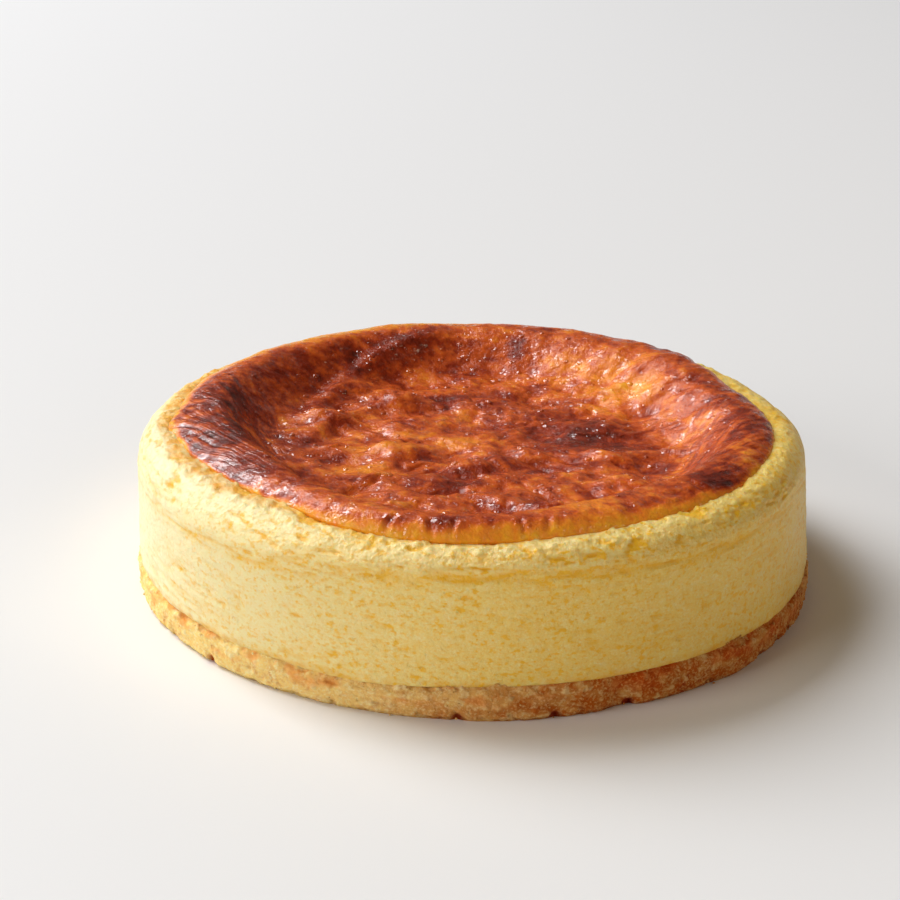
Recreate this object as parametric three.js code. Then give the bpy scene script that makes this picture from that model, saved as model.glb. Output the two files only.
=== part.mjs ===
// A round baked cheesecake on a pressed biscuit base, in millimetres with +Z up.
// The origin is the middle of the underside. An azimuth is in degrees, 0 towards -Y, 90 towards +X.
// Each solid is a lathe whose points are moved by what the cake does at their own azimuth.

import { Group, LatheGeometry, MathUtils, Mesh, MeshStandardMaterial, Vector2 } from 'three';

// Sizes of the whole cake
const SEGMENTS = 120; // steps round the cake
const RING_RADIUS = 79.9; // the baking ring that shaped the wall
const BISCUIT_RADIUS = 80.8;
const BISCUIT_HEIGHT = 7.6;
const SEAM_GAP = 0.3; // air between the two solids
const LIP_RADIUS = 70.9; // where the pale ledge meets the browned skin
const LIP_HEIGHT = 37.3;
const CREST_HEIGHT = 39.7; // top of the roll inside the lip
const FOOT_RADIUS = 48.6; // where the inner slope meets the sunken middle
const FLOOR_HEIGHT = 30.4;

// Shape of the biscuit's edge
const BISCUIT_UNDERCUT = 0.5; // how far the foot of the edge draws in
const BISCUIT_EDGE_ROUND = 1.3;
const CRUMB_RELIEF = 0.3;

// Shape of the wall and the ledge over it
const WALL_TAPER = 1.3; // how much narrower the shoulder is than the foot
const WALL_LEAN = 0.8; // more taper on the right, less on the left
const LEDGE_DROP = 5.6; // from the lip down to the shoulder
const WALL_ROUND = 0.7; // at the foot of the wall
const CREASE_HEIGHT = 33.2;
const CREASE_DEPTH = 0.5;
const CREASE_WIDTH = 2.4;
const CREASE_AT = 12; // degrees, like the next one
const CREASE_SPREAD = 20;
const GROOVE_DEPTH = 0.3; // between ledge and roll
const GROOVE_WIDTH = 1;

// Shape of the sunken top
const ROLL_WIDTH = 7;
const ROLL_STEEPNESS = 0.7; // below 1 the roll starts as a small step
const CREST_TILT = 0.7; // the front of the roll is this much higher than its mean
const FLOOR_DIP = 0.8;
const DRIP_HEIGHT = 0.7;
const DRIP_STEP = 12; // degrees from one drip to the next
const DRIP_AT = 128; // degrees, like the next one
const DRIP_SPREAD = 34;
const DRIP_RADIUS = 54; // where on the slope the drips are highest
const DRIP_LENGTH = 9;
const UNDERSIDE_RADIUS = 78.6;

// Round the back the skin reaches further out and down
const FLAP_REACH = 2.8;
const FLAP_DROP = 1.5;
const FLAP_START = [125, 128.5]; // degrees over which it begins
const FLAP_END = [240, 272]; // degrees over which it dies away

// Swellings round the cake: the azimuth of the middle, the spread in degrees, the rise in mm
const SEAM_WAVES = [
  { at: 342, spread: 12, rise: -0.8 },
  { at: 20, spread: 24, rise: 0.5 },
  { at: 70, spread: 16, rise: -0.4 },
  { at: 150, spread: 20, rise: 0.4 },
  { at: 215, spread: 18, rise: -0.5 },
  { at: 262, spread: 16, rise: 0.3 },
];
const BISCUIT_WAVES = [
  { at: 4, spread: 8, rise: 0.5 },
  { at: 23, spread: 2.5, rise: -1.3 },
  { at: 45, spread: 5, rise: 0.8 },
  { at: 88, spread: 14, rise: -0.5 },
  { at: 118, spread: 4, rise: -0.9 },
  { at: 163, spread: 7, rise: 0.6 },
  { at: 231, spread: 3, rise: -1 },
  { at: 309, spread: 6, rise: -0.2 },
];
const WALL_WAVES = [
  { at: 30, spread: 18, rise: 0.25 },
  { at: 75, spread: 14, rise: -0.3 },
  { at: 140, spread: 22, rise: 0.3 },
  { at: 205, spread: 16, rise: -0.35 },
  { at: 285, spread: 20, rise: 0.35 },
];
const LIP_WAVES = [
  { at: 355, spread: 20, rise: 0.4 },
  { at: 78, spread: 24, rise: -0.5 },
  { at: 110, spread: 18, rise: -3 },
  { at: 278, spread: 6, rise: 1.8 },
  { at: 310, spread: 17, rise: -2.5 },
  { at: 325, spread: 6, rise: -1.4 },
];
const LIP_DROPS = [
  { at: 122, spread: 24, rise: -0.6 },
  { at: 172, spread: 46, rise: -1 },
  { at: 238, spread: 30, rise: -0.8 },
  { at: 355, spread: 20, rise: -1.3 },
];
const LEDGE_WAVES = [
  { at: 312, spread: 24, rise: 2.4 },
  { at: 258, spread: 30, rise: 2.6 },
  { at: 0, spread: 20, rise: -2.6 },
  { at: 112, spread: 32, rise: 2.4 },
];
const ROLL_WAVES = [
  { at: 290, spread: 24, rise: 4.3 },
  { at: 278, spread: 6, rise: 1.8 },
  { at: 325, spread: 6, rise: -1.4 },
  { at: 35, spread: 18, rise: 2.4 },
  { at: 355, spread: 20, rise: -2.9 },
];
const CREST_WAVES = [
  { at: 200, spread: 9, rise: 0.4 },
  { at: 186, spread: 5, rise: -0.4 },
  { at: 128, spread: 9, rise: 0.8 },
  { at: 107, spread: 6, rise: -0.5 },
  { at: 262, spread: 12, rise: 0.5 },
];
const FOOT_WAVES = [
  { at: 132, spread: 36, rise: -9 },
  { at: 302, spread: 22, rise: -3 },
];

// Folds of the skin: from and to are azimuth and radius, a fold dies away past both
const FOLDS = [
  { from: [199, 57], to: [243, 44], width: 3.2, height: 1.8 },
  { from: [199, 62], to: [243, 50], width: 3.2, height: -0.5 },
  { from: [215, 33], to: [262, 38.5], width: 3, height: 1.4 },
  { from: [255, 13.8], to: [282, 22.7], width: 2.8, height: 0.9 },
  { from: [342, 26.5], to: [358, 27], width: 3.6, height: 1 },
  { from: [12, 39], to: [38, 51], width: 2.8, height: 1.3 },
  { from: [95, 24], to: [125, 27], width: 3.4, height: 1 },
  { from: [285, 52], to: [330, 44], width: 3, height: 0.9 },
];
const FOLD_FADE = 9; // degrees over which a fold dies away

// Ripples over the sunken middle: wavelength, heading in degrees, height
const RIPPLES = [
  { length: 25, heading: 12, height: 0.4 },
  { length: 19, heading: 74, height: 0.35 },
  { length: 15, heading: 138, height: 0.25 },
];
const RIPPLE_BEND = 1.2; // how far the ripples swing from straight lines
const RIPPLE_SWING = 13; // how long one swing is
const RIPPLE_REACH = 8; // how far past the foot of the slope they are felt
const RIPPLE_FADE = 14;

// Degrees from one azimuth to another, the short way round
function degreesFrom(azimuth, middle) {
  return MathUtils.euclideanModulo(azimuth - middle + 180, 360) - 180;
}

function waves(azimuth, list) {
  let rise = 0;
  for (const wave of list) {
    rise += wave.rise * Math.exp(-((degreesFrom(azimuth, wave.at) / wave.spread) ** 2));
  }
  return rise;
}

// A repeatable draw between -1 and 1 for one place in a grid
function draw(column, row) {
  const value = Math.sin(column * 12.9898 + row * 78.233) * 43758.5453;
  return 2 * (value - Math.floor(value)) - 1;
}

function seamHeight(azimuth, radius) {
  return BISCUIT_HEIGHT + waves(azimuth, SEAM_WAVES) * (radius / RING_RADIUS) ** 3;
}

function biscuitRadius(azimuth) {
  return BISCUIT_RADIUS + waves(azimuth, BISCUIT_WAVES);
}

// 1 where the skin reaches further out, 0 elsewhere
function flapShare(azimuth) {
  const begun = MathUtils.smoothstep(azimuth, ...FLAP_START);
  return begun - MathUtils.smoothstep(azimuth, ...FLAP_END);
}

// The lip before the skin reaches further out
function rimRadius(azimuth) {
  return LIP_RADIUS + waves(azimuth, LIP_WAVES);
}

function lipRadius(azimuth) {
  return rimRadius(azimuth) + FLAP_REACH * flapShare(azimuth);
}

function lipHeight(azimuth) {
  return LIP_HEIGHT + waves(azimuth, LIP_DROPS) - FLAP_DROP * flapShare(azimuth);
}

function shoulderHeight(azimuth) {
  return lipHeight(azimuth) - LEDGE_DROP - waves(azimuth, LEDGE_WAVES);
}

function crestRadius(azimuth) {
  return rimRadius(azimuth) - ROLL_WIDTH - waves(azimuth, ROLL_WAVES);
}

function crestHeight(azimuth) {
  return CREST_HEIGHT + CREST_TILT * Math.cos(MathUtils.degToRad(azimuth)) + waves(azimuth, CREST_WAVES);
}

function footRadius(azimuth) {
  return FOOT_RADIUS + waves(azimuth, FOOT_WAVES);
}

function wallRadius(azimuth, height) {
  const up = (height - BISCUIT_HEIGHT) / (LIP_HEIGHT - LEDGE_DROP - BISCUIT_HEIGHT);
  const taper = WALL_TAPER + WALL_LEAN * Math.sin(MathUtils.degToRad(azimuth));
  const crease = CREASE_DEPTH * Math.exp(-(((height - CREASE_HEIGHT) / CREASE_WIDTH) ** 2));
  const creased = Math.exp(-((degreesFrom(azimuth, CREASE_AT) / CREASE_SPREAD) ** 2));
  return RING_RADIUS - taper * up - crease * creased + waves(azimuth, WALL_WAVES);
}

// How strongly a fold is felt at an azimuth: 1 between its ends, fading past them
function foldStrength(azimuth, fold) {
  const span = fold.to[0] - fold.from[0];
  const along = degreesFrom(azimuth, fold.from[0] + span / 2);
  const past = Math.max(0, Math.abs(along) - span / 2);
  return Math.exp(-((past / FOLD_FADE) ** 2));
}

function foldHeight(azimuth, radius, fold) {
  const span = fold.to[0] - fold.from[0];
  const along = degreesFrom(azimuth, fold.from[0] + span / 2) / span + 0.5;
  const middle = MathUtils.lerp(fold.from[1], fold.to[1], along);
  const across = Math.exp(-(((radius - middle) / fold.width) ** 2));
  return fold.height * across * foldStrength(azimuth, fold);
}

function rippleHeight(azimuth, radius) {
  const turn = MathUtils.degToRad(azimuth);
  const x = radius * Math.sin(turn);
  const y = -radius * Math.cos(turn);
  let height = 0;
  for (const ripple of RIPPLES) {
    const heading = MathUtils.degToRad(ripple.heading);
    const along = x * Math.cos(heading) + y * Math.sin(heading);
    const across = x * Math.sin(heading) - y * Math.cos(heading);
    const bend = RIPPLE_BEND * Math.sin(across / RIPPLE_SWING);
    height += ripple.height * Math.sin((2 * Math.PI * along) / ripple.length + bend);
  }
  return height * MathUtils.smoothstep(FOOT_RADIUS + RIPPLE_REACH - radius, 0, RIPPLE_FADE);
}

// Lumps that run down the inner slope at the back right
function dripHeight(azimuth, radius) {
  const placed = Math.exp(-((degreesFrom(azimuth, DRIP_AT) / DRIP_SPREAD) ** 2));
  const down = Math.exp(-(((radius - DRIP_RADIUS) / DRIP_LENGTH) ** 2));
  const wave = Math.cos((2 * Math.PI * azimuth) / DRIP_STEP + radius / DRIP_LENGTH);
  return DRIP_HEIGHT * placed * down * wave;
}

function relief(azimuth, radius) {
  let height = rippleHeight(azimuth, radius) + dripHeight(azimuth, radius);
  for (const fold of FOLDS) {
    height += foldHeight(azimuth, radius, fold);
  }
  return height;
}

// Bands of the filling, from the middle of the underside up the wall and in to the middle of
// the top. Each gives radius and height at a part of its way, 0 to 1, and at an azimuth.
function fillingUnderside(part, azimuth) {
  const radius = UNDERSIDE_RADIUS * part;
  return [radius, seamHeight(azimuth, radius) + SEAM_GAP];
}

function wall(part, azimuth) {
  const foot = seamHeight(azimuth, RING_RADIUS) + SEAM_GAP;
  const height = MathUtils.lerp(foot + WALL_ROUND, shoulderHeight(azimuth), part);
  return [wallRadius(azimuth, height), height];
}

function ledge(part, azimuth) {
  const shoulder = shoulderHeight(azimuth);
  const rim = lipRadius(azimuth) + GROOVE_WIDTH;
  const turn = ((1 - part) * Math.PI) / 2;
  const radius = rim + (wallRadius(azimuth, shoulder) - rim) * Math.sin(turn);
  return [radius, shoulder + (lipHeight(azimuth) - shoulder) * Math.cos(turn)];
}

function groove(part, azimuth) {
  const radius = lipRadius(azimuth) + GROOVE_WIDTH * (1 - part);
  return [radius, lipHeight(azimuth) - GROOVE_DEPTH * part];
}

function roll(part, azimuth) {
  const foot = lipHeight(azimuth) - GROOVE_DEPTH;
  const radius = MathUtils.lerp(lipRadius(azimuth), crestRadius(azimuth), part);
  const climb = Math.sin((Math.PI / 2) * part ** ROLL_STEEPNESS);
  const height = MathUtils.lerp(foot, crestHeight(azimuth), climb);
  return [radius, height + part * relief(azimuth, radius)];
}

function innerSlope(part, azimuth) {
  const radius = MathUtils.lerp(crestRadius(azimuth), footRadius(azimuth), part);
  const fall = MathUtils.smoothstep(part, 0, 1);
  const height = MathUtils.lerp(crestHeight(azimuth), FLOOR_HEIGHT, fall);
  return [radius, height + relief(azimuth, radius)];
}

function sunkenMiddle(part, azimuth) {
  const foot = footRadius(azimuth);
  const radius = foot * (1 - part);
  const dip = FLOOR_DIP * (1 - (radius / foot) ** 2);
  return [radius, FLOOR_HEIGHT - dip + relief(azimuth, radius)];
}

const FILLING_BANDS = [
  { steps: 3, place: fillingUnderside },
  { steps: 5, place: wall, joined: true },
  { steps: 5, place: ledge },
  { steps: 1, place: groove },
  { steps: 4, place: roll },
  { steps: 8, place: innerSlope },
  { steps: 11, place: sunkenMiddle },
];

// Bands of the biscuit, from the middle of its underside out and back in over its top
function biscuitUnderside(part, azimuth) {
  return [(biscuitRadius(azimuth) - BISCUIT_UNDERCUT) * part, 0];
}

function biscuitEdge(part, azimuth, column) {
  const top = seamHeight(azimuth, RING_RADIUS);
  const height = MathUtils.lerp(BISCUIT_UNDERCUT, top - BISCUIT_EDGE_ROUND, part);
  const crumb = CRUMB_RELIEF * draw(column, Math.round(height));
  return [biscuitRadius(azimuth) + crumb, height];
}

function biscuitTop(part, azimuth) {
  const radius = UNDERSIDE_RADIUS * (1 - part);
  return [radius, seamHeight(azimuth, radius)];
}

const BISCUIT_BANDS = [
  { steps: 2, place: biscuitUnderside },
  { steps: 3, place: biscuitEdge, joined: true },
  { steps: 3, place: biscuitTop, joined: true },
];

// One band after another. A joined band starts a step away from the end of the one before.
function stations(bands) {
  const list = [];
  for (const band of bands) {
    const first = band === bands[0] || band.joined ? 0 : 1;
    for (let step = first; step <= band.steps; step += 1) {
      list.push({ place: band.place, part: step / band.steps });
    }
  }
  return list;
}

function placeStation(station, column) {
  const azimuth = (360 * column) / SEGMENTS;
  const [radius, height] = station.place(station.part, azimuth, column);
  if (radius < 1e-6) {
    return station.place(station.part, 0, 0);
  }
  return [radius, height];
}

function turnedBody(bands) {
  const places = stations(bands);
  const outline = places.map((station) => new Vector2(...placeStation(station, 0)));
  const geometry = new LatheGeometry(outline, SEGMENTS);
  const position = geometry.attributes.position;
  for (let index = 0; index < position.count; index += 1) {
    const column = Math.floor(index / places.length) % SEGMENTS;
    const [radius, height] = placeStation(places[index % places.length], column);
    const turn = (2 * Math.PI * column) / SEGMENTS;
    position.setXYZ(index, radius * Math.sin(turn), -radius * Math.cos(turn), height);
  }
  geometry.computeVertexNormals();
  return geometry;
}

function namedMesh(name, geometry, colour, roughness) {
  const mesh = new Mesh(geometry, new MeshStandardMaterial({ color: colour, roughness, metalness: 0 }));
  mesh.name = name;
  return mesh;
}

const group = new Group();
group.add(namedMesh('biscuit_base', turnedBody(BISCUIT_BANDS), 0xd9a765, 0.9));
group.add(namedMesh('cheese_filling', turnedBody(FILLING_BANDS), 0xf1d98b, 0.6));

export default group;
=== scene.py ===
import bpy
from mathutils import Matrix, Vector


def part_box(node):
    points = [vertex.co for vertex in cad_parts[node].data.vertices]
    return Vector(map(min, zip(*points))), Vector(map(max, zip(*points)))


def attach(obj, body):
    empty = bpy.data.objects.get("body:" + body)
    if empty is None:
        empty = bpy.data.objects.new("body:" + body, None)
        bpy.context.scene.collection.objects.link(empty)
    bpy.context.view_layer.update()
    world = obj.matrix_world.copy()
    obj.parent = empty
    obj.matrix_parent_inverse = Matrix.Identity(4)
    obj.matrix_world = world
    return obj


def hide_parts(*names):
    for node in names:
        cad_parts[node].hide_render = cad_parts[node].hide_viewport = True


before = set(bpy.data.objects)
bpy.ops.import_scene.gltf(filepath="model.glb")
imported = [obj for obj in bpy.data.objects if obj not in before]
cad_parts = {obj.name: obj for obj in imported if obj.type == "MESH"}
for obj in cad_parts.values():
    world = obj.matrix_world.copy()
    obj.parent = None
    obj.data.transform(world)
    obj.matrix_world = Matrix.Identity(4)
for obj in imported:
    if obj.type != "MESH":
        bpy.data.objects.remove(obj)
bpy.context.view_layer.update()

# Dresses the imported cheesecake: a sponge-like cheese body, its browned and folded skin, and a
# biscuit layer with loose crumbs. Lengths are in metres. An azimuth is in degrees, 0 towards -Y
# and 90 towards +X. The form is worked out by the same named sizes as the CAD solids.

import itertools
import logging
import math
from collections.abc import Callable
from dataclasses import dataclass, field
from enum import Enum, IntEnum

import bpy
import numpy as np
from mathutils import Matrix, Vector
from mathutils.bvhtree import BVHTree

LOG = logging.getLogger("cheesecake")
MM = 0.001
TURN = 360.0
Array = np.ndarray
Place = Callable[[Array, Array], tuple[Array, Array]]
Colour = tuple[float, float, float]
Socket = bpy.types.NodeSocket
Number = Socket | float
Tone = Socket | Colour


class Slot(Enum):
    """The names of the cake's material slots."""

    BISCUIT = "biscuit"
    FILLING = "filling"
    SKIN = "browned_skin"


def smooth_step(value: Array, low: float, high: float) -> Array:
    """Rises from 0 at low to 1 at high with soft ends.

    Args:
        value: numbers of any size.
        low: where the rise starts.
        high: where it ends.

    Returns:
        Numbers from 0 to 1, as many as value has.
    """
    share = np.clip((value - low) / (high - low), 0.0, 1.0)
    return share * share * (3 - 2 * share)


def bell(value: Array, spread: float) -> Array:
    """1 where value is 0, and fading on both sides over the spread."""
    return np.exp(-((value / spread) ** 2))


def degrees_from(azimuth: Array, middle: float) -> Array:
    """Degrees from one azimuth to another, the short way round."""
    return (azimuth - middle + TURN / 2) % TURN - TURN / 2


def near(azimuth: Array, middle: float, spread: float) -> Array:
    """1 at the middle azimuth, and fading on both sides over the spread, all in degrees."""
    return bell(degrees_from(azimuth, middle), spread)


def mix(low: Array, high: Array, share: Array) -> Array:
    """low where share is 0, high where it is 1."""
    return low + (high - low) * share


@dataclass(frozen=True)
class Swell:
    """A soft swelling round the cake: its azimuth, its spread in degrees and its rise in mm."""

    at: float
    spread: float
    rise: float


@dataclass(frozen=True)
class Fold:
    """A fold of the skin from one azimuth and radius to another, with width and height in mm."""

    start: tuple[float, float]
    end: tuple[float, float]
    width: float
    height: float


@dataclass(frozen=True)
class Ripple:
    """One long wave over the sunken middle: wavelength in mm, heading in degrees, height in mm."""

    length: float
    heading: float
    height: float


@dataclass(frozen=True)
class Ridge:
    """A winding ridge of the skin: its path in plan in mm, gentle on its left and steep on its right."""

    path: tuple[tuple[float, float], ...]
    width: float
    height: float

    def height_at(self, points: Array) -> Array:
        """The height that the ridge adds at each point.

        Args:
            points: places, one row each.

        Returns:
            Heights in metres.
        """
        nearest = np.full(len(points), 1.0)
        gentle = np.zeros(len(points), bool)
        for start, end in itertools.pairwise(self.path):
            first = np.array(start) * MM
            run = np.array(end) * MM - first
            share = np.clip((points[:, :2] - first) @ run / (run @ run), 0, 1)
            gap = points[:, :2] - first - share[:, None] * run
            distance = np.linalg.norm(gap, axis=1)
            closer = distance < nearest
            nearest[closer] = distance[closer]
            gentle[closer] = (run[0] * gap[:, 1] - run[1] * gap[:, 0] > 0)[closer]
        spread = np.where(gentle, self.width, 0.4 * self.width) * MM
        return self.height * MM * bell(nearest, spread)


@dataclass(frozen=True)
class Dent:
    """An upright dent in the outer face of the roll: azimuth, width and depth in mm, and lean."""

    at: float
    width: float
    depth: float
    lean: float = 0.0


@dataclass(frozen=True)
class Patch:
    """A darker or paler place of the skin: plan place, both spreads in mm, strength and heading."""

    x: float
    y: float
    wide: float
    deep: float
    strength: float
    heading: float = 0.0

    def strength_at(self, points: Array) -> Array:
        """How much browner each point is."""
        turn = math.radians(self.heading)
        x = points[:, 0] / MM - self.x
        y = points[:, 1] / MM - self.y
        along = (x * math.cos(turn) + y * math.sin(turn)) / self.wide
        across = (y * math.cos(turn) - x * math.sin(turn)) / self.deep
        return self.strength * np.exp(-(along**2) - across**2)


class Noise:
    """Smooth, repeatable unevenness in space, from seeded tables."""

    def __init__(self, seed: int) -> None:
        """Draws the tables.

        Args:
            seed: the same seed gives the same noise on every run.
        """
        draws = np.random.default_rng(seed)
        self.order = draws.permutation(256)
        slopes = draws.normal(size=(256, 3))
        self.slopes = slopes / np.linalg.norm(slopes, axis=1, keepdims=True)
        self.spots = draws.random((256, 3))
        self.shares = draws.random(256)

    def _draw(self, cell: Array) -> Array:
        """The place in the tables that belongs to each cell."""
        first = self.order[cell[:, 0] & 255]
        second = self.order[(first + cell[:, 1]) & 255]
        return self.order[(second + cell[:, 2]) & 255]

    def smooth(self, points: Array, *size: float) -> Array:
        """Noise of about -1 to 1 with lumps of one size.

        Args:
            points: places, one row each.
            size: the lumps' size in mm, one number or one for each axis.

        Returns:
            One number for each place.
        """
        scaled = points / (np.array(size) * MM)
        cell = np.floor(scaled).astype(int)
        inside = scaled - cell
        fade = inside**3 * (inside * (inside * 6 - 15) + 10)
        total = np.zeros(len(points))
        for corner in itertools.product((0, 1), repeat=3):
            step = np.array(corner)
            slope = self.slopes[self._draw(cell + step)]
            weight = np.prod(np.where(step == 1, fade, 1 - fade), axis=1)
            total += weight * np.einsum("ij,ij->i", inside - step, slope)
        return 1.6 * total

    def rough(self, points: Array, *size: float) -> Array:
        """Three sizes of smooth noise added, each half as large and half as strong."""
        sizes = np.array(size)
        return sum(self.smooth(points + 0.31 * step, *(sizes / 2**step)) / 2**step for step in range(3))

    def creases(self, points: Array, *size: float) -> Array:
        """Narrow winding lines, 1 on a line and 0 away from it."""
        return np.clip(1 - 2.5 * np.abs(self.smooth(points, *size)), 0, 1) ** 2

    def cells(self, points: Array, *size: float) -> tuple[Array, Array]:
        """The nearest of many scattered spots.

        Args:
            points: places, one row each.
            size: the mean distance of the spots in mm, one number or one for each axis.

        Returns:
            The distance to the nearest spot, in mean distances, and that spot's own draw.
        """
        scaled = points / (np.array(size) * MM)
        cell = np.floor(scaled).astype(int)
        nearest = np.full(len(points), 9.0)
        share = np.zeros(len(points))
        for corner in itertools.product((-1, 0, 1), repeat=3):
            index = self._draw(cell + np.array(corner))
            spot = cell + np.array(corner) + self.spots[index]
            distance = np.linalg.norm(scaled - spot, axis=1)
            closer = distance < nearest
            nearest[closer] = distance[closer]
            share[closer] = self.shares[index][closer]
        return nearest, share

    def dots(
        self, points: Array, size: tuple[float, ...], rare: float | Array, edge: tuple[float, float]
    ) -> Array:
        """Soft-edged dots round some of the scattered spots.

        Args:
            points: places, one row each.
            size: the mean distance of the spots in mm, one number or one for each axis.
            rare: the share of the spots that is left out.
            edge: where a dot starts and where it is whole, in mean distances.

        Returns:
            1 in a dot and 0 outside.
        """
        nearest, share = self.cells(points, *size)
        return smooth_step(nearest, *edge) * (share > rare)


@dataclass(frozen=True)
class CakeForm:
    """The cake's form, in metres, from named sizes. It repeats what the CAD solids follow."""

    ring_radius: float
    biscuit_radius: float = 80.8 * MM
    biscuit_height: float = 7.6 * MM
    lip_radius: float = 70.9 * MM
    lip_height: float = 37.3 * MM
    crest_height: float = 39.7 * MM
    foot_radius: float = 48.6 * MM
    floor_height: float = 30.4 * MM
    wall_taper: float = 1.3 * MM
    wall_lean: float = 0.8 * MM
    ledge_drop: float = 5.6 * MM
    crease_height: float = 33.2 * MM
    crease_depth: float = 0.5 * MM
    groove_depth: float = 0.3 * MM
    groove_width: float = 1.0 * MM
    roll_width: float = 7 * MM
    roll_steepness: float = 0.7
    crest_tilt: float = 0.7 * MM
    floor_dip: float = 0.8 * MM
    drip_height: float = 0.7 * MM
    drip_step: float = 12.0
    fold_fade: float = 9.0
    seam_waves: tuple[Swell, ...] = (
        Swell(342, 12, -0.8),
        Swell(20, 24, 0.5),
        Swell(70, 16, -0.4),
        Swell(150, 20, 0.4),
        Swell(215, 18, -0.5),
        Swell(262, 16, 0.3),
    )
    biscuit_waves: tuple[Swell, ...] = (
        Swell(4, 8, 0.5),
        Swell(23, 2.5, -1.3),
        Swell(45, 5, 0.8),
        Swell(88, 14, -0.5),
        Swell(118, 4, -0.9),
        Swell(163, 7, 0.6),
        Swell(231, 3, -1),
        Swell(309, 6, -0.2),
    )
    wall_waves: tuple[Swell, ...] = (
        Swell(30, 18, 0.25),
        Swell(75, 14, -0.3),
        Swell(140, 22, 0.3),
        Swell(205, 16, -0.35),
        Swell(285, 20, 0.35),
    )
    lip_waves: tuple[Swell, ...] = (
        Swell(355, 20, 0.4),
        Swell(78, 24, -0.5),
        Swell(110, 18, -3),
        Swell(278, 6, 1.8),
        Swell(310, 17, -2.5),
        Swell(325, 6, -1.4),
    )
    lip_drops: tuple[Swell, ...] = (
        Swell(122, 24, -0.6),
        Swell(172, 46, -1),
        Swell(238, 30, -0.8),
        Swell(355, 20, -1.3),
    )
    flap_reach: float = 2.8 * MM
    flap_drop: float = 1.5 * MM
    flap_ends: tuple[float, float, float, float] = (125, 128.5, 240, 272)
    ledge_waves: tuple[Swell, ...] = (
        Swell(312, 24, 2.4),
        Swell(258, 30, 2.6),
        Swell(0, 20, -2.6),
        Swell(112, 32, 2.4),
    )
    roll_waves: tuple[Swell, ...] = (
        Swell(290, 24, 4.3),
        Swell(278, 6, 1.8),
        Swell(325, 6, -1.4),
        Swell(35, 18, 2.4),
        Swell(355, 20, -2.9),
    )
    crest_waves: tuple[Swell, ...] = (
        Swell(200, 9, 0.4),
        Swell(186, 5, -0.4),
        Swell(128, 9, 0.8),
        Swell(107, 6, -0.5),
        Swell(262, 12, 0.5),
    )
    foot_waves: tuple[Swell, ...] = (Swell(132, 36, -9), Swell(302, 22, -3))
    folds: tuple[Fold, ...] = (
        Fold((199, 57), (243, 44), 3.2, 1.8),
        Fold((199, 62), (243, 50), 3.2, -0.5),
        Fold((215, 33), (262, 38.5), 3, 1.4),
        Fold((255, 13.8), (282, 22.7), 2.8, 0.9),
        Fold((342, 26.5), (358, 27), 3.6, 1),
        Fold((12, 39), (38, 51), 2.8, 1.3),
        Fold((95, 24), (125, 27), 3.4, 1),
        Fold((285, 52), (330, 44), 3, 0.9),
    )
    ripples: tuple[Ripple, ...] = (Ripple(25, 12, 0.4), Ripple(19, 74, 0.35), Ripple(15, 138, 0.25))

    def _waves(self, azimuth: Array, swells: tuple[Swell, ...]) -> Array:
        """The sum of some swellings at each azimuth."""
        return sum(s.rise * MM * near(azimuth, s.at, s.spread) for s in swells)

    def seam_at(self, azimuth: Array, radius: Array) -> Array:
        """Height of the seam between biscuit and filling."""
        return self.biscuit_height + self._waves(azimuth, self.seam_waves) * (radius / self.ring_radius) ** 3

    def biscuit_at(self, azimuth: Array) -> Array:
        """Radius of the biscuit's edge."""
        return self.biscuit_radius + self._waves(azimuth, self.biscuit_waves)

    def _flap(self, azimuth: Array) -> Array:
        """1 round the back, where the skin reaches further out, and 0 elsewhere."""
        first, second, third, last = self.flap_ends
        return smooth_step(azimuth, first, second) - smooth_step(azimuth, third, last)

    def _rim_at(self, azimuth: Array) -> Array:
        """Radius of the lip before the skin reaches further out at the back."""
        return self.lip_radius + self._waves(azimuth, self.lip_waves)

    def lip_at(self, azimuth: Array) -> Array:
        """Radius where the pale ledge meets the browned skin."""
        return self._rim_at(azimuth) + self.flap_reach * self._flap(azimuth)

    def lip_top(self, azimuth: Array) -> Array:
        """Height of the ledge beside the lip."""
        return self.lip_height + self._waves(azimuth, self.lip_drops) - self.flap_drop * self._flap(azimuth)

    def shoulder_at(self, azimuth: Array) -> Array:
        """Height where the wall starts to round over."""
        return self.lip_top(azimuth) - self.ledge_drop - self._waves(azimuth, self.ledge_waves)

    def crest_at(self, azimuth: Array) -> Array:
        """Radius of the top of the roll."""
        return self._rim_at(azimuth) - self.roll_width - self._waves(azimuth, self.roll_waves)

    def crest_top(self, azimuth: Array) -> Array:
        """Height of the top of the roll."""
        tilt = self.crest_tilt * np.cos(np.radians(azimuth))
        return self.crest_height + tilt + self._waves(azimuth, self.crest_waves)

    def foot_at(self, azimuth: Array) -> Array:
        """Radius where the inner slope meets the sunken middle."""
        return self.foot_radius + self._waves(azimuth, self.foot_waves)

    def wall_at(self, azimuth: Array, height: Array) -> Array:
        """Radius of the wall at a height."""
        climb = self.lip_height - self.ledge_drop - self.biscuit_height
        taper = self.wall_taper + self.wall_lean * np.sin(np.radians(azimuth))
        crease = self.crease_depth * bell(height - self.crease_height, 2.4 * MM)
        creased = near(azimuth, 12, 20)
        rise = taper * (height - self.biscuit_height) / climb
        return self.ring_radius - rise - crease * creased + self._waves(azimuth, self.wall_waves)

    def _fold(self, azimuth: Array, radius: Array, fold: Fold) -> Array:
        """Height that one fold adds."""
        span = fold.end[0] - fold.start[0]
        along = degrees_from(azimuth, fold.start[0] + span / 2)
        past = np.maximum(0, np.abs(along) - span / 2)
        middle = mix(fold.start[1], fold.end[1], along / span + 0.5) * MM
        across = bell(radius - middle, fold.width * MM)
        return fold.height * MM * across * bell(past, self.fold_fade)

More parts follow.
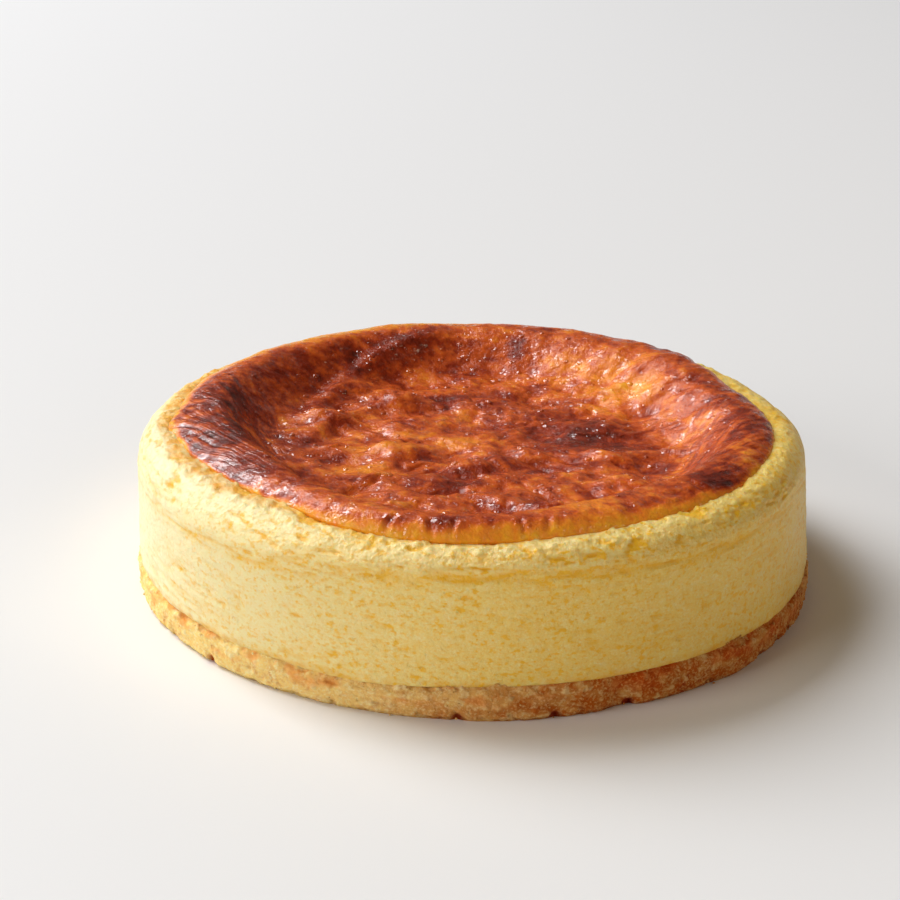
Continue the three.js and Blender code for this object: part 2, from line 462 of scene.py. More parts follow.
    def _ripple(self, azimuth: Array, radius: Array) -> Array:
        """Height that the long waves add over the sunken middle."""
        x = radius * np.sin(np.radians(azimuth))
        y = -radius * np.cos(np.radians(azimuth))
        height = np.zeros(len(radius))
        for ripple in self.ripples:
            heading = math.radians(ripple.heading)
            along = x * math.cos(heading) + y * math.sin(heading)
            bend = 1.2 * np.sin((x * math.sin(heading) - y * math.cos(heading)) / (13 * MM))
            height += ripple.height * MM * np.sin(2 * math.pi * along / (ripple.length * MM) + bend)
        return height * smooth_step(self.foot_radius + 8 * MM - radius, 0, 14 * MM)

    def _drips(self, azimuth: Array, radius: Array) -> Array:
        """Height of the lumps that run down the inner slope at the back right."""
        placed = near(azimuth, 128, 34) * bell(radius - 54 * MM, 9 * MM)
        wave = np.cos(2 * math.pi * azimuth / self.drip_step + radius / (9 * MM))
        return self.drip_height * placed * wave

    def relief(self, azimuth: Array, radius: Array) -> Array:
        """Height that folds, ripples and drips add together."""
        folded = sum(self._fold(azimuth, radius, fold) for fold in self.folds)
        return folded + self._ripple(azimuth, radius) + self._drips(azimuth, radius)

    def ledge(self, part: Array, azimuth: Array) -> tuple[Array, Array]:
        """Radius and height on the way from the shoulder to the lip."""
        shoulder = self.shoulder_at(azimuth)
        rim = self.lip_at(azimuth) + self.groove_width
        turn = (1 - part) * math.pi / 2
        radius = rim + (self.wall_at(azimuth, shoulder) - rim) * np.sin(turn)
        return radius, shoulder + (self.lip_top(azimuth) - shoulder) * np.cos(turn)

    def roll(self, part: Array, azimuth: Array) -> tuple[Array, Array]:
        """Radius and height on the way from the lip up to the crest."""
        radius = mix(self.lip_at(azimuth), self.crest_at(azimuth), part)
        climb = np.sin(math.pi / 2 * part**self.roll_steepness)
        height = mix(self.lip_top(azimuth) - self.groove_depth, self.crest_top(azimuth), climb)
        return radius, height + part * self.relief(azimuth, radius)

    def slope(self, part: Array, azimuth: Array) -> tuple[Array, Array]:
        """Radius and height on the way from the crest down to the foot."""
        radius = mix(self.crest_at(azimuth), self.foot_at(azimuth), part)
        height = mix(self.crest_top(azimuth), self.floor_height, smooth_step(part, 0, 1))
        return radius, height + self.relief(azimuth, radius)

    def middle(self, part: Array, azimuth: Array) -> tuple[Array, Array]:
        """Radius and height on the way from the foot to the middle of the top."""
        foot = self.foot_at(azimuth)
        radius = foot * (1 - part)
        dip = self.floor_dip * (1 - (radius / foot) ** 2)
        azimuth = np.where(part < 1, azimuth, 0.0)
        return radius, self.floor_height - dip + self.relief(azimuth, radius)


@dataclass(frozen=True)
class Band:
    """One stretch of a wound sheet's outline: its rows of faces, and where its points go."""

    rows: int
    place: Place


@dataclass
class WoundSheet:
    """A closed piece wound round the Z axis: columns round the cake, bands along its outline."""

    name: str
    columns: int
    bands: tuple[Band, ...]
    piece: bpy.types.Object = field(init=False)
    azimuth: Array = field(init=False)
    band: Array = field(init=False)
    part: Array = field(init=False)

    def wind(self) -> None:
        """Adds a tube with the sheet's columns and rows, and moves its points to their places."""
        rows = sum(band.rows for band in self.bands)
        bpy.ops.mesh.primitive_cylinder_add(
            vertices=self.columns, radius=1, depth=rows, end_fill_type="NOTHING", location=(0, 0, rows / 2)
        )
        self.piece = bpy.context.object
        self.piece.name = self.piece.data.name = self.name
        bpy.ops.object.transform_apply(location=True, rotation=True, scale=True)
        self._cut_rows(rows)
        self._place_points(rows)
        self._close_poles()

    def _cut_rows(self, rows: int) -> None:
        """Cuts every upright edge of the tube into the rows."""
        mesh = self.piece.data
        bpy.ops.object.mode_set(mode="EDIT")
        bpy.ops.mesh.select_all(action="DESELECT")
        bpy.ops.object.mode_set(mode="OBJECT")
        for edge in mesh.edges:
            heights = [mesh.vertices[index].co.z for index in edge.vertices]
            edge.select = abs(heights[0] - heights[1]) > rows / 2
        bpy.ops.object.mode_set(mode="EDIT")
        bpy.ops.mesh.select_mode(type="EDGE")
        bpy.ops.mesh.subdivide(number_cuts=rows - 1, quadcorner="STRAIGHT_CUT")
        bpy.ops.object.mode_set(mode="OBJECT")

    def _place_points(self, rows: int) -> None:
        """Moves each point of the tube to its place on the outline at its own azimuth."""
        points = read_points(self.piece)
        self.azimuth = np.degrees(np.arctan2(points[:, 0], -points[:, 1])) % TURN
        self.azimuth = np.round(self.azimuth * self.columns / TURN) * TURN / self.columns
        row = np.round(points[:, 2]).astype(int)
        starts = np.cumsum([0] + [band.rows for band in self.bands])
        self.band = np.clip(np.searchsorted(starts, row, side="left") - 1, 0, len(self.bands) - 1)
        self.part = np.zeros(len(row))
        radius = np.zeros(len(row))
        height = np.zeros(len(row))
        for index, band in enumerate(self.bands):
            chosen = self.band == index
            part = (row[chosen] - starts[index]) / band.rows
            self.part[chosen] = part
            radius[chosen], height[chosen] = band.place(part, self.azimuth[chosen])
        turn = np.radians(self.azimuth)
        placed = np.stack([radius * np.sin(turn), -radius * np.cos(turn), height], axis=1)
        write_points(self.piece, placed)

    def _close_poles(self) -> None:
        """Marks each point's azimuth, band and part, and merges the points at the two poles."""
        write_attribute(self.piece, "azimuth", self.azimuth)
        write_attribute(self.piece, "band", self.band)
        write_attribute(self.piece, "part", self.part)
        bpy.ops.object.mode_set(mode="EDIT")
        bpy.ops.mesh.select_all(action="SELECT")
        bpy.ops.mesh.remove_doubles(threshold=1e-7)
        bpy.ops.mesh.normals_make_consistent(inside=False)
        bpy.ops.object.mode_set(mode="OBJECT")
        self.azimuth = read_attribute(self.piece, "azimuth")
        self.band = read_attribute(self.piece, "band").round().astype(int)
        self.part = read_attribute(self.piece, "part")

    def radius(self) -> Array:
        """Distance of each point from the Z axis."""
        return np.linalg.norm(read_points(self.piece)[:, :2], axis=1)

    def push(self, amount: Array) -> None:
        """Moves each point along its normal.

        Args:
            amount: how far each point goes out, below 0 to go in.
        """
        points = read_points(self.piece)
        write_points(self.piece, points + read_normals(self.piece) * amount[:, None])

    def finish(self, material: bpy.types.Material, node: str) -> None:
        """Drops the helper attributes, gives the piece its material, parents it to the root body and hides the
        CAD node that it stands for.

        Args:
            material: the finish of the whole piece.
            node: the CAD node that the piece stands for.
        """
        for name in ("azimuth", "band", "part"):
            self.piece.data.attributes.remove(self.piece.data.attributes[name])
        dress(self.piece, material, node)


def read_points(piece: bpy.types.Object) -> Array:
    """Every point of the piece's mesh, one row each."""
    flat = np.zeros(len(piece.data.vertices) * 3, np.float32)
    piece.data.vertices.foreach_get("co", flat)
    return flat.reshape(-1, 3).astype(float)


def write_points(piece: bpy.types.Object, points: Array) -> None:
    """Puts every point of the piece's mesh where the rows say."""
    piece.data.vertices.foreach_set("co", points.astype(np.float32).ravel())
    piece.data.update()


def read_normals(piece: bpy.types.Object) -> Array:
    """The normal at every point, one row each."""
    flat = np.zeros(len(piece.data.vertices) * 3, np.float32)
    piece.data.vertex_normals.foreach_get("vector", flat)
    return flat.reshape(-1, 3).astype(float)


def write_attribute(piece: bpy.types.Object, name: str, values: Array) -> None:
    """Keeps one number for each point under a name that materials can read."""
    attribute = piece.data.attributes.get(name) or piece.data.attributes.new(name, "FLOAT", "POINT")
    attribute.data.foreach_set("value", np.asarray(values, np.float32))


def write_places(piece: bpy.types.Object, name: str, places: Array) -> None:
    """Keeps one place for each point under a name that materials can read."""
    attribute = piece.data.attributes.new(name, "FLOAT_VECTOR", "POINT")
    attribute.data.foreach_set("vector", np.asarray(places, np.float32).ravel())


def read_attribute(piece: bpy.types.Object, name: str) -> Array:
    """The numbers kept for each point under a name."""
    values = np.zeros(len(piece.data.vertices), np.float32)
    piece.data.attributes[name].data.foreach_get("value", values)
    return values.astype(float)


def dress(piece: bpy.types.Object, material: bpy.types.Material, node: str) -> None:
    """Gives a piece its material, parents it to the root body and hides the CAD node that it stands for.

    Args:
        piece: the finished mesh object.
        material: its finish.
        node: the CAD node that the piece stands for.
    """
    piece.data.materials.clear()
    piece.data.materials.append(material)
    piece.data.shade_smooth()
    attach(piece, "root")
    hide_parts(node)


class NodeSheet:
    """Adds and joins the nodes of one material or group."""

    def __init__(self, tree: bpy.types.NodeTree) -> None:
        """Starts on a tree with its nodes cleared.

        Args:
            tree: the tree of a material or a group.
        """
        self.tree = tree
        self.tree.nodes.clear()

    def _fill(self, socket: Socket, value: object) -> None:
        """Joins another socket to this one, or sets its value."""
        if isinstance(value, Socket):
            self.tree.links.new(value, socket)
        else:
            socket.default_value = value

    def add(
        self, kind: str, inputs: dict[str | int, object] | None = None, **settings: object
    ) -> bpy.types.Node:
        """Adds one node.

        Args:
            kind: Blender's name for the node's type.
            inputs: values, or sockets to join, by input name or number.
            settings: the node's own properties.

        Returns:
            The new node.
        """
        node = self.tree.nodes.new(kind)
        for name, value in settings.items():
            setattr(node, name, value)
        for name, value in (inputs or {}).items():
            self._fill(node.inputs[name], value)
        return node

    def math(self, operation: str, first: Number, second: Number) -> Socket:
        """One sum on two numbers or sockets."""
        return self.add("ShaderNodeMath", {0: first, 1: second}, operation=operation).outputs[0]

    def times(self, first: Number, second: Number) -> Socket:
        """The product of two numbers."""
        return self.math("MULTIPLY", first, second)

    def plus(self, first: Number, second: Number) -> Socket:
        """The sum of two numbers."""
        return self.math("ADD", first, second)

    def minus(self, first: Number, second: Number) -> Socket:
        """What is left of the first number."""
        return self.math("SUBTRACT", first, second)

    def up_to_one(self, value: Number) -> Socket:
        """The number, and 1 where it is larger."""
        return self.math("MINIMUM", value, 1.0)

    def blend(self, share: Number, low: Tone, high: Tone, kind: str = "MIX") -> Socket:
        """Blends two colours.

        Args:
            share: 0 for low alone, 1 for the whole effect of high.
            low: the first colour.
            high: the second colour.
            kind: MIX, or MULTIPLY for low times high.

        Returns:
            The colour's socket.
        """
        node = self.add("ShaderNodeMix", {0: share}, data_type="RGBA", blend_type=kind)
        for index, colour in ((6, low), (7, high)):
            self._fill(node.inputs[index], colour if isinstance(colour, Socket) else (*colour, 1.0))
        return node.outputs[2]

    def step(self, value: Number, low: float, high: float) -> Socket:
        """Rises from 0 at low to 1 at high with soft ends."""
        inputs = {"Value": value, "From Min": low, "From Max": high}
        return self.add("ShaderNodeMapRange", inputs, interpolation_type="SMOOTHSTEP").outputs[0]

    def kept(self, name: str, output: str = "Fac") -> Socket:
        """What the mesh keeps for each point: a number, or a place where output is Vector."""
        return self.add("ShaderNodeAttribute", attribute_name=name).outputs[output]

    def place(self) -> Socket:
        """The place on the object."""
        return self.add("ShaderNodeTexCoord").outputs["Object"]

    def noise(self, place: Socket, size: tuple[float, float, float], detail: float) -> Socket:
        """Cloudy noise, about 0.5 on average.

        Args:
            place: the socket that gives the place.
            size: the size of the lumps along each axis, in mm on the object.
            detail: how much finer noise is added.

        Returns:
            The number's socket.
        """
        lumps = tuple(length * MM for length in size)
        scaled = self.add("ShaderNodeVectorMath", {0: place, 1: lumps}, operation="DIVIDE").outputs[0]
        return self.add("ShaderNodeTexNoise", {"Vector": scaled, "Scale": 1.0, "Detail": detail}).outputs[0]

    def ramp(self, value: Socket, stops: tuple[tuple[float, Colour], ...]) -> Socket:
        """A colour for each number.

        Args:
            value: the number's socket.
            stops: where each colour stands, and the colour.

        Returns:
            The colour's socket.
        """
        node = self.add("ShaderNodeValToRGB", {0: value})
        elements = node.color_ramp.elements
        while len(elements) < len(stops):
            elements.new(0.5)
        for element, (position, colour) in zip(elements, stops):
            element.position = position
            element.color = (*colour, 1.0)
        return node.outputs[0]

    def bump(self, height: Socket, distance: float, strength: float, start: Socket | None = None) -> Socket:
        """Bends the normal by a height.

        Args:
            height: the height's socket.
            distance: how high a height of 1 is.
            strength: how much of it is felt.
            start: the normal to bend, where it isn't the mesh's own.

        Returns:
            The normal's socket.
        """
        inputs = {"Height": height, "Distance": distance, "Strength": strength}
        if start is not None:
            inputs["Normal"] = start
        return self.add("ShaderNodeBump", inputs).outputs[0]

    def close(self, inputs: dict[str, object]) -> None:
        """Adds the shader with these inputs, and the material's output."""
        shader = self.add("ShaderNodeBsdfPrincipled", inputs)
        self.add("ShaderNodeOutputMaterial", {"Surface": shader.outputs[0]})


def start_material(name: str) -> tuple[bpy.types.Material, NodeSheet]:
    """Makes a material with no nodes yet, and a sheet to add them to."""
    made = bpy.data.materials.new(name)
    made.use_nodes = True
    return made, NodeSheet(made.node_tree)


def seen(red: int, green: int, blue: int) -> Colour:
    """The linear colour of one that a screen shows, each part from 0 to 255."""
    parts = []
    for part in (red, green, blue):
        share = part / 255
        parts.append(share / 12.92 if share <= 0.04045 else ((share + 0.055) / 1.055) ** 2.4)
    return (parts[0], parts[1], parts[2])


class Effects:
    """The shader node groups that every finish of the cake uses."""

    def __init__(self) -> None:
        """Builds each group once."""
        self.grain = self._grain()
        self.stain = self._stain()

    @staticmethod
    def _group(name: str, inputs: dict[str, float], output: str) -> tuple[NodeSheet, bpy.types.ShaderNodeTree]:
        """Makes an empty group with float inputs and one output.

        Args:
            name: the group's name.
            inputs: the inputs and what each is when nothing is set.
            output: the name of the output.

        Returns:
            A sheet to add nodes to, and the group.
        """
        tree = bpy.data.node_groups.new(name, "ShaderNodeTree")
        for label, value in inputs.items():
            socket = tree.interface.new_socket(label, in_out="INPUT", socket_type="NodeSocketFloat")
            socket.default_value = value
        tree.interface.new_socket(output, in_out="OUTPUT", socket_type="NodeSocketFloat")
        return NodeSheet(tree), tree

    def _grain(self) -> bpy.types.ShaderNodeTree:
        """Fine uneven grain with deep pits, as a height for bumps.

        Returns:
            The group, with inputs Scale and Pit Scale and output Height.
        """
        sheet, tree = self._group("Fine Grain", {"Scale": 900.0, "Pit Scale": 500.0}, "Height")
        given = sheet.add("NodeGroupInput").outputs
        place = sheet.place()
        lumps = {"Vector": place, "Scale": given["Scale"], "Detail": 4.0, "Roughness": 0.65}
        fine = sheet.add("ShaderNodeTexNoise", lumps).outputs[0]
        cells = sheet.add("ShaderNodeTexVoronoi", {"Vector": place, "Scale": given["Pit Scale"]})
        pits = sheet.times(sheet.step(cells.outputs["Distance"], 0.45, 0.1), sheet.step(fine, 0.5, 0.72))
        sheet.add("NodeGroupOutput", {"Height": sheet.minus(fine, pits)})
        return tree

    def _stain(self) -> bpy.types.ShaderNodeTree:
        """Cloudy unevenness of a tone, coarse and fine together.

        Returns:
            The group, with inputs Scale and Fine Scale and output Cloud, about 0.5 on average.
        """
        sheet, tree = self._group("Cloudy Stain", {"Scale": 60.0, "Fine Scale": 350.0}, "Cloud")
        given = sheet.add("NodeGroupInput").outputs
        place = sheet.place()
        clouds = {"Vector": place, "Scale": given["Scale"], "Detail": 3.0, "Distortion": 0.6}
        specks = {"Vector": place, "Scale": given["Fine Scale"], "Detail": 2.0}
        coarse = sheet.add("ShaderNodeTexNoise", clouds).outputs[0]
        fine = sheet.add("ShaderNodeTexNoise", specks).outputs[0]
        sheet.add("NodeGroupOutput", {"Cloud": sheet.plus(sheet.times(coarse, 0.65), sheet.times(fine, 0.35))})
        return tree


@dataclass(frozen=True)
class Finish:
    """What every finish of the cake has: a name, and how fine its grain, pits and clouds are."""

    name: str
    grain: float
    pits: float
    clouds: float
    fine_clouds: float

    def material(self, effects: Effects) -> bpy.types.Material:
        """Builds the material.

        Args:
            effects: the shader node groups.

        Returns:
            The material.
        """
        made, sheet = start_material(self.name)
        grains = {"Scale": self.grain, "Pit Scale": self.pits}
        clouds = {"Scale": self.clouds, "Fine Scale": self.fine_clouds}
        grain = sheet.add("ShaderNodeGroup", grains, node_tree=effects.grain)
        cloud = sheet.add("ShaderNodeGroup", clouds, node_tree=effects.stain)
        sheet.close(self.shade(sheet, grain.outputs["Height"], cloud.outputs["Cloud"]))
        return made

    def shade(self, sheet: NodeSheet, grain: Socket, cloud: Socket) -> dict[str, object]:
        """Adds the finish's own nodes.

        Args:
            sheet: the material's sheet.
            grain: the height of the fine grain.
            cloud: cloudy numbers, about 0.5 on average.

        Returns:
            The shader's inputs.
        """
        raise NotImplementedError


@dataclass(frozen=True)
class SpongeFinish(Finish):
    """Pale cheese from the oven: soft, slightly see-through, with golden pits deepened by painted shade, and
    whitened by painted light where the window lights it.
    """

    name: str = "baked_cheese"
    grain: float = 1100.0
    pits: float = 520.0
    clouds: float = 80.0
    fine_clouds: float = 420.0
    pale: Colour = seen(253, 212, 102)
    cream: Colour = seen(255, 228, 148)
    # Painted light: the colour that whitens the left wall and the front ledge where the window lights them.
    painted_light_colour: Colour = seen(255, 240, 188)
    # The golden colour of the cheese's spots, and of the painted shade in its hollows.
    golden: Colour = seen(252, 191, 20)
    toasted: Colour = seen(246, 176, 34)
    painted_light_clears: float = 0.72
    bump: float = 0.5 * MM
    fluff: float = 0.26 * MM

    def shade(self, sheet: NodeSheet, grain: Socket, cloud: Socket) -> dict[str, object]:
        """Adds golden spots and cream flecks to the pale cheese, and the painted light that whitens the left
        wall where the window lights it and the front ledge that faces up to it.

        Args:
            sheet: the material's sheet.
            grain: the height of the fine grain.
            cloud: cloudy numbers, about 0.5 on average.

        Returns:
            The shader's inputs.
        """
        place = sheet.place()
        # Painted light: whitens the left wall and the front ledge, and clears most golden spots there.
        painted_light = sheet.kept("painted_light")
        spots = sheet.step(sheet.noise(place, (1.5, 1.5, 1.0), 2.0), 0.5, 0.7)
        spots = sheet.times(spots, sheet.step(cloud, 0.36, 0.54))
        dots = sheet.step(sheet.noise(place, (0.8, 0.8, 0.6), 2.0), 0.5, 0.7)
        gold = sheet.plus(sheet.times(spots, 1.1), sheet.times(dots, 0.5))
        gold = sheet.times(gold, sheet.minus(1.0, sheet.times(painted_light, self.painted_light_clears)))
        # Painted shade: the hollows turn golden.
        gold = sheet.plus(sheet.kept("hollow_shade"), gold)
        specks = sheet.step(sheet.noise(place, (0.5, 0.5, 0.4), 2.0), 0.5, 0.66)
        flecks = sheet.step(sheet.noise(place, (2.2, 2.2, 1.7), 3.0), 0.48, 0.68)
        light = sheet.plus(sheet.times(specks, 0.6), sheet.times(flecks, 0.45))
        body = sheet.blend(light, self.pale, self.cream)
        body = sheet.blend(painted_light, body, self.painted_light_colour)
        body = sheet.blend(sheet.up_to_one(gold), body, self.golden)
        tufts = sheet.minus(sheet.noise(place, (1.5, 1.5, 1.0), 3.0), 0.5)
        torn = sheet.bump(sheet.times(tufts, sheet.kept("ragged")), self.fluff, 1.0)
        return {
            "Base Color": sheet.blend(sheet.kept("toast"), body, self.toasted),
            "Roughness": 0.45,
            "Normal": sheet.bump(grain, self.bump, 0.7, torn),
            "Subsurface Weight": 0.4,
            "Subsurface Radius": (1.0, 0.62, 0.28),
            "Subsurface Scale": 3 * MM,
            "Specular IOR Level": 0.6,
            "Sheen Weight": 0.15,
            "Sheen Roughness": 0.3,
        }


@dataclass(frozen=True)
class SkinFinish(Finish):
    """Browned, slightly oily skin: gold where it is palest, nearly black where it scorched, with painted light
    and shade in its tone.
    """

    name: str = "browned_skin"
    grain: float = 1300.0
    pits: float = 900.0
    clouds: float = 130.0
    fine_clouds: float = 480.0
    stops: tuple[tuple[float, Colour], ...] = (
        (0.0, seen(254, 206, 90)),
        (0.15, seen(252, 176, 44)),
        (0.32, seen(245, 142, 42)),
        (0.5, seen(208, 92, 34)),
        (0.66, seen(150, 50, 20)),
        (0.82, seen(102, 30, 14)),
        (1.0, seen(46, 18, 14)),
    )
    shine: Colour = (1.0, 0.9, 0.8)
    bump: float = 0.2 * MM
    wrinkle: float = 0.6 * MM
    ripple: float = 0.75 * MM
    fan_stretch: float = 16.0

    def shade(self, sheet: NodeSheet, grain: Socket, cloud: Socket) -> dict[str, object]:
        """Adds the brown tone with its painted light and shade, the fine wrinkles with painted shade in their
        valleys, and the broken gloss.

        Args:
            sheet: the material's sheet.
            grain: the height of the fine grain.
            cloud: cloudy numbers, about 0.5 on average.

        Returns:
            The shader's inputs.
        """
        place = sheet.place()
        share = sheet.kept("fan_share")
        fan = sheet.kept("fan_place", "Vector")
        streak = sheet.noise(fan, (1.1, self.fan_stretch, self.fan_stretch), 3.0)
        lined = sheet.times(sheet.minus(sheet.step(streak, 0.36, 0.64), 0.5), share)
        crinkle = sheet.noise(place, (2.2, 1.8, 2.2), 5.0)
        # Painted shade: the tone darkens where the wrinkle bump and the fan lines sink.
        tone = sheet.plus(sheet.kept("browning_light_and_shade"), sheet.times(sheet.minus(cloud, 0.5), 0.7))
        tone = sheet.plus(tone, sheet.times(lined, 0.2))
        tone = sheet.minus(tone, sheet.times(sheet.minus(crinkle, 0.5), 0.36))
        folds = sheet.bump(sheet.minus(crinkle, sheet.times(lined, 0.24)), self.wrinkle, 0.9)
        ripples = sheet.noise(place, (1.5, 1.2, 1.5), 1.0)
        ripples = sheet.times(ripples, sheet.minus(1.0, sheet.times(sheet.up_to_one(share), 0.75)))
        wet = sheet.minus(ripples, sheet.times(lined, 0.4))
        gloss = sheet.kept("gloss")
        oily = sheet.step(sheet.noise(place, (2.8, 2.8, 2.8), 2.0), 0.53, 0.62)
        rough = sheet.plus(0.22, sheet.times(cloud, 0.14))
        return {
            "Base Color": sheet.ramp(tone, self.stops),
            "Roughness": sheet.minus(rough, sheet.times(gloss, 0.25)),
            "Normal": sheet.bump(grain, self.bump, 0.8, folds),
            "Subsurface Weight": 0.1,
            "Subsurface Radius": (1.0, 0.35, 0.12),
            "Subsurface Scale": 1.0 * MM,
            "Specular IOR Level": 0.25,
            "Specular Tint": (*self.shine, 1.0),
            "Coat Weight": sheet.up_to_one(sheet.plus(gloss, sheet.times(oily, 0.7))),
            "Coat Roughness": 0.08,
            "Coat IOR": 1.7,
            "Coat Normal": sheet.bump(wet, self.ripple, 1.0),
        }


@dataclass(frozen=True)
class BiscuitFinish(Finish):
    """Pressed biscuit: cream grains in buttery tan, darker where the oven browned it most, with painted shade
    on the front-right side, towards the foot and in the hollows.
    """

    name: str = "pressed_biscuit"
    grain: float = 1000.0
    pits: float = 600.0
    clouds: float = 220.0
    fine_clouds: float = 800.0
    tan: Colour = seen(255, 218, 130)
    cream: Colour = seen(255, 234, 170)
    # baked_and_shade: the darker tan of the oven's browning, and the colour of the painted shade in the
    # hollows.
    baked_and_shade: Colour = seen(194, 88, 6)
    toasted: Colour = seen(252, 172, 84)
    # painted_shade_tint multiplies in the painted shade of the front-right side and the foot.
    painted_shade_tint: Colour = (0.5, 0.16, 0.03)
    cream_stays: float = 0.42
    bump: float = 0.55 * MM

    def shade(self, sheet: NodeSheet, grain: Socket, cloud: Socket) -> dict[str, object]:
        """Adds cream grains, toasted places, and the painted shade of the hollows, the front-right side and
        the foot, to the tan biscuit.

        Args:
            sheet: the material's sheet.
            grain: the height of the fine grain.
            cloud: cloudy numbers, about 0.5 on average.

        Returns:
            The shader's inputs.
        """
        place = sheet.place()
        clusters = sheet.step(sheet.noise(place, (1.9, 1.9, 1.3), 4.0), 0.53, 0.68)
        specks = sheet.step(sheet.noise(place, (0.6, 0.6, 0.5), 3.0), 0.5, 0.62)
        clusters = sheet.plus(sheet.times(clusters, 0.6), sheet.times(specks, 0.6))
        cream = sheet.up_to_one(sheet.plus(sheet.kept("grain"), clusters))
        # Painted shade in the gaps, nicks and along the foot, with random dark specks.
        dark = sheet.step(sheet.noise(place, (1.0, 0.8, 0.7), 3.0), 0.52, 0.64)
        hollow_shade = sheet.up_to_one(sheet.plus(sheet.kept("hollow_shade"), sheet.times(dark, 0.14)))
        colour = sheet.blend(sheet.step(cloud, 0.22, 0.5), self.baked_and_shade, self.tan)
        colour = sheet.blend(cream, colour, self.cream)
        colour = sheet.blend(sheet.kept("toast"), colour, self.toasted)
        colour = sheet.blend(hollow_shade, colour, self.baked_and_shade)
        # Painted shade of the front-right side and the foot; cream grains keep part of their light.
        baked_and_shade = sheet.times(sheet.kept("baked_and_shade"), sheet.minus(1.0, sheet.times(cream, self.cream_stays)))
        return {
            "Base Color": sheet.blend(baked_and_shade, colour, self.painted_shade_tint, "MULTIPLY"),
            "Roughness": 0.75,
            "Normal": sheet.bump(grain, self.bump, 0.8),
            "Subsurface Weight": 0.15,
            "Subsurface Radius": (1.0, 0.5, 0.2),
            "Subsurface Scale": 1.0 * MM,
            "Specular IOR Level": 0.08,
            "Sheen Weight": 0.02,
            "Sheen Roughness": 0.4,
        }


class CheeseBand(IntEnum):
    """The bands of the cheese body, from the middle of its underside to the middle of its top."""

    UNDERSIDE = 0
    WALL = 1
    LEDGE = 2
    RIM = 3
    HIDDEN = 4


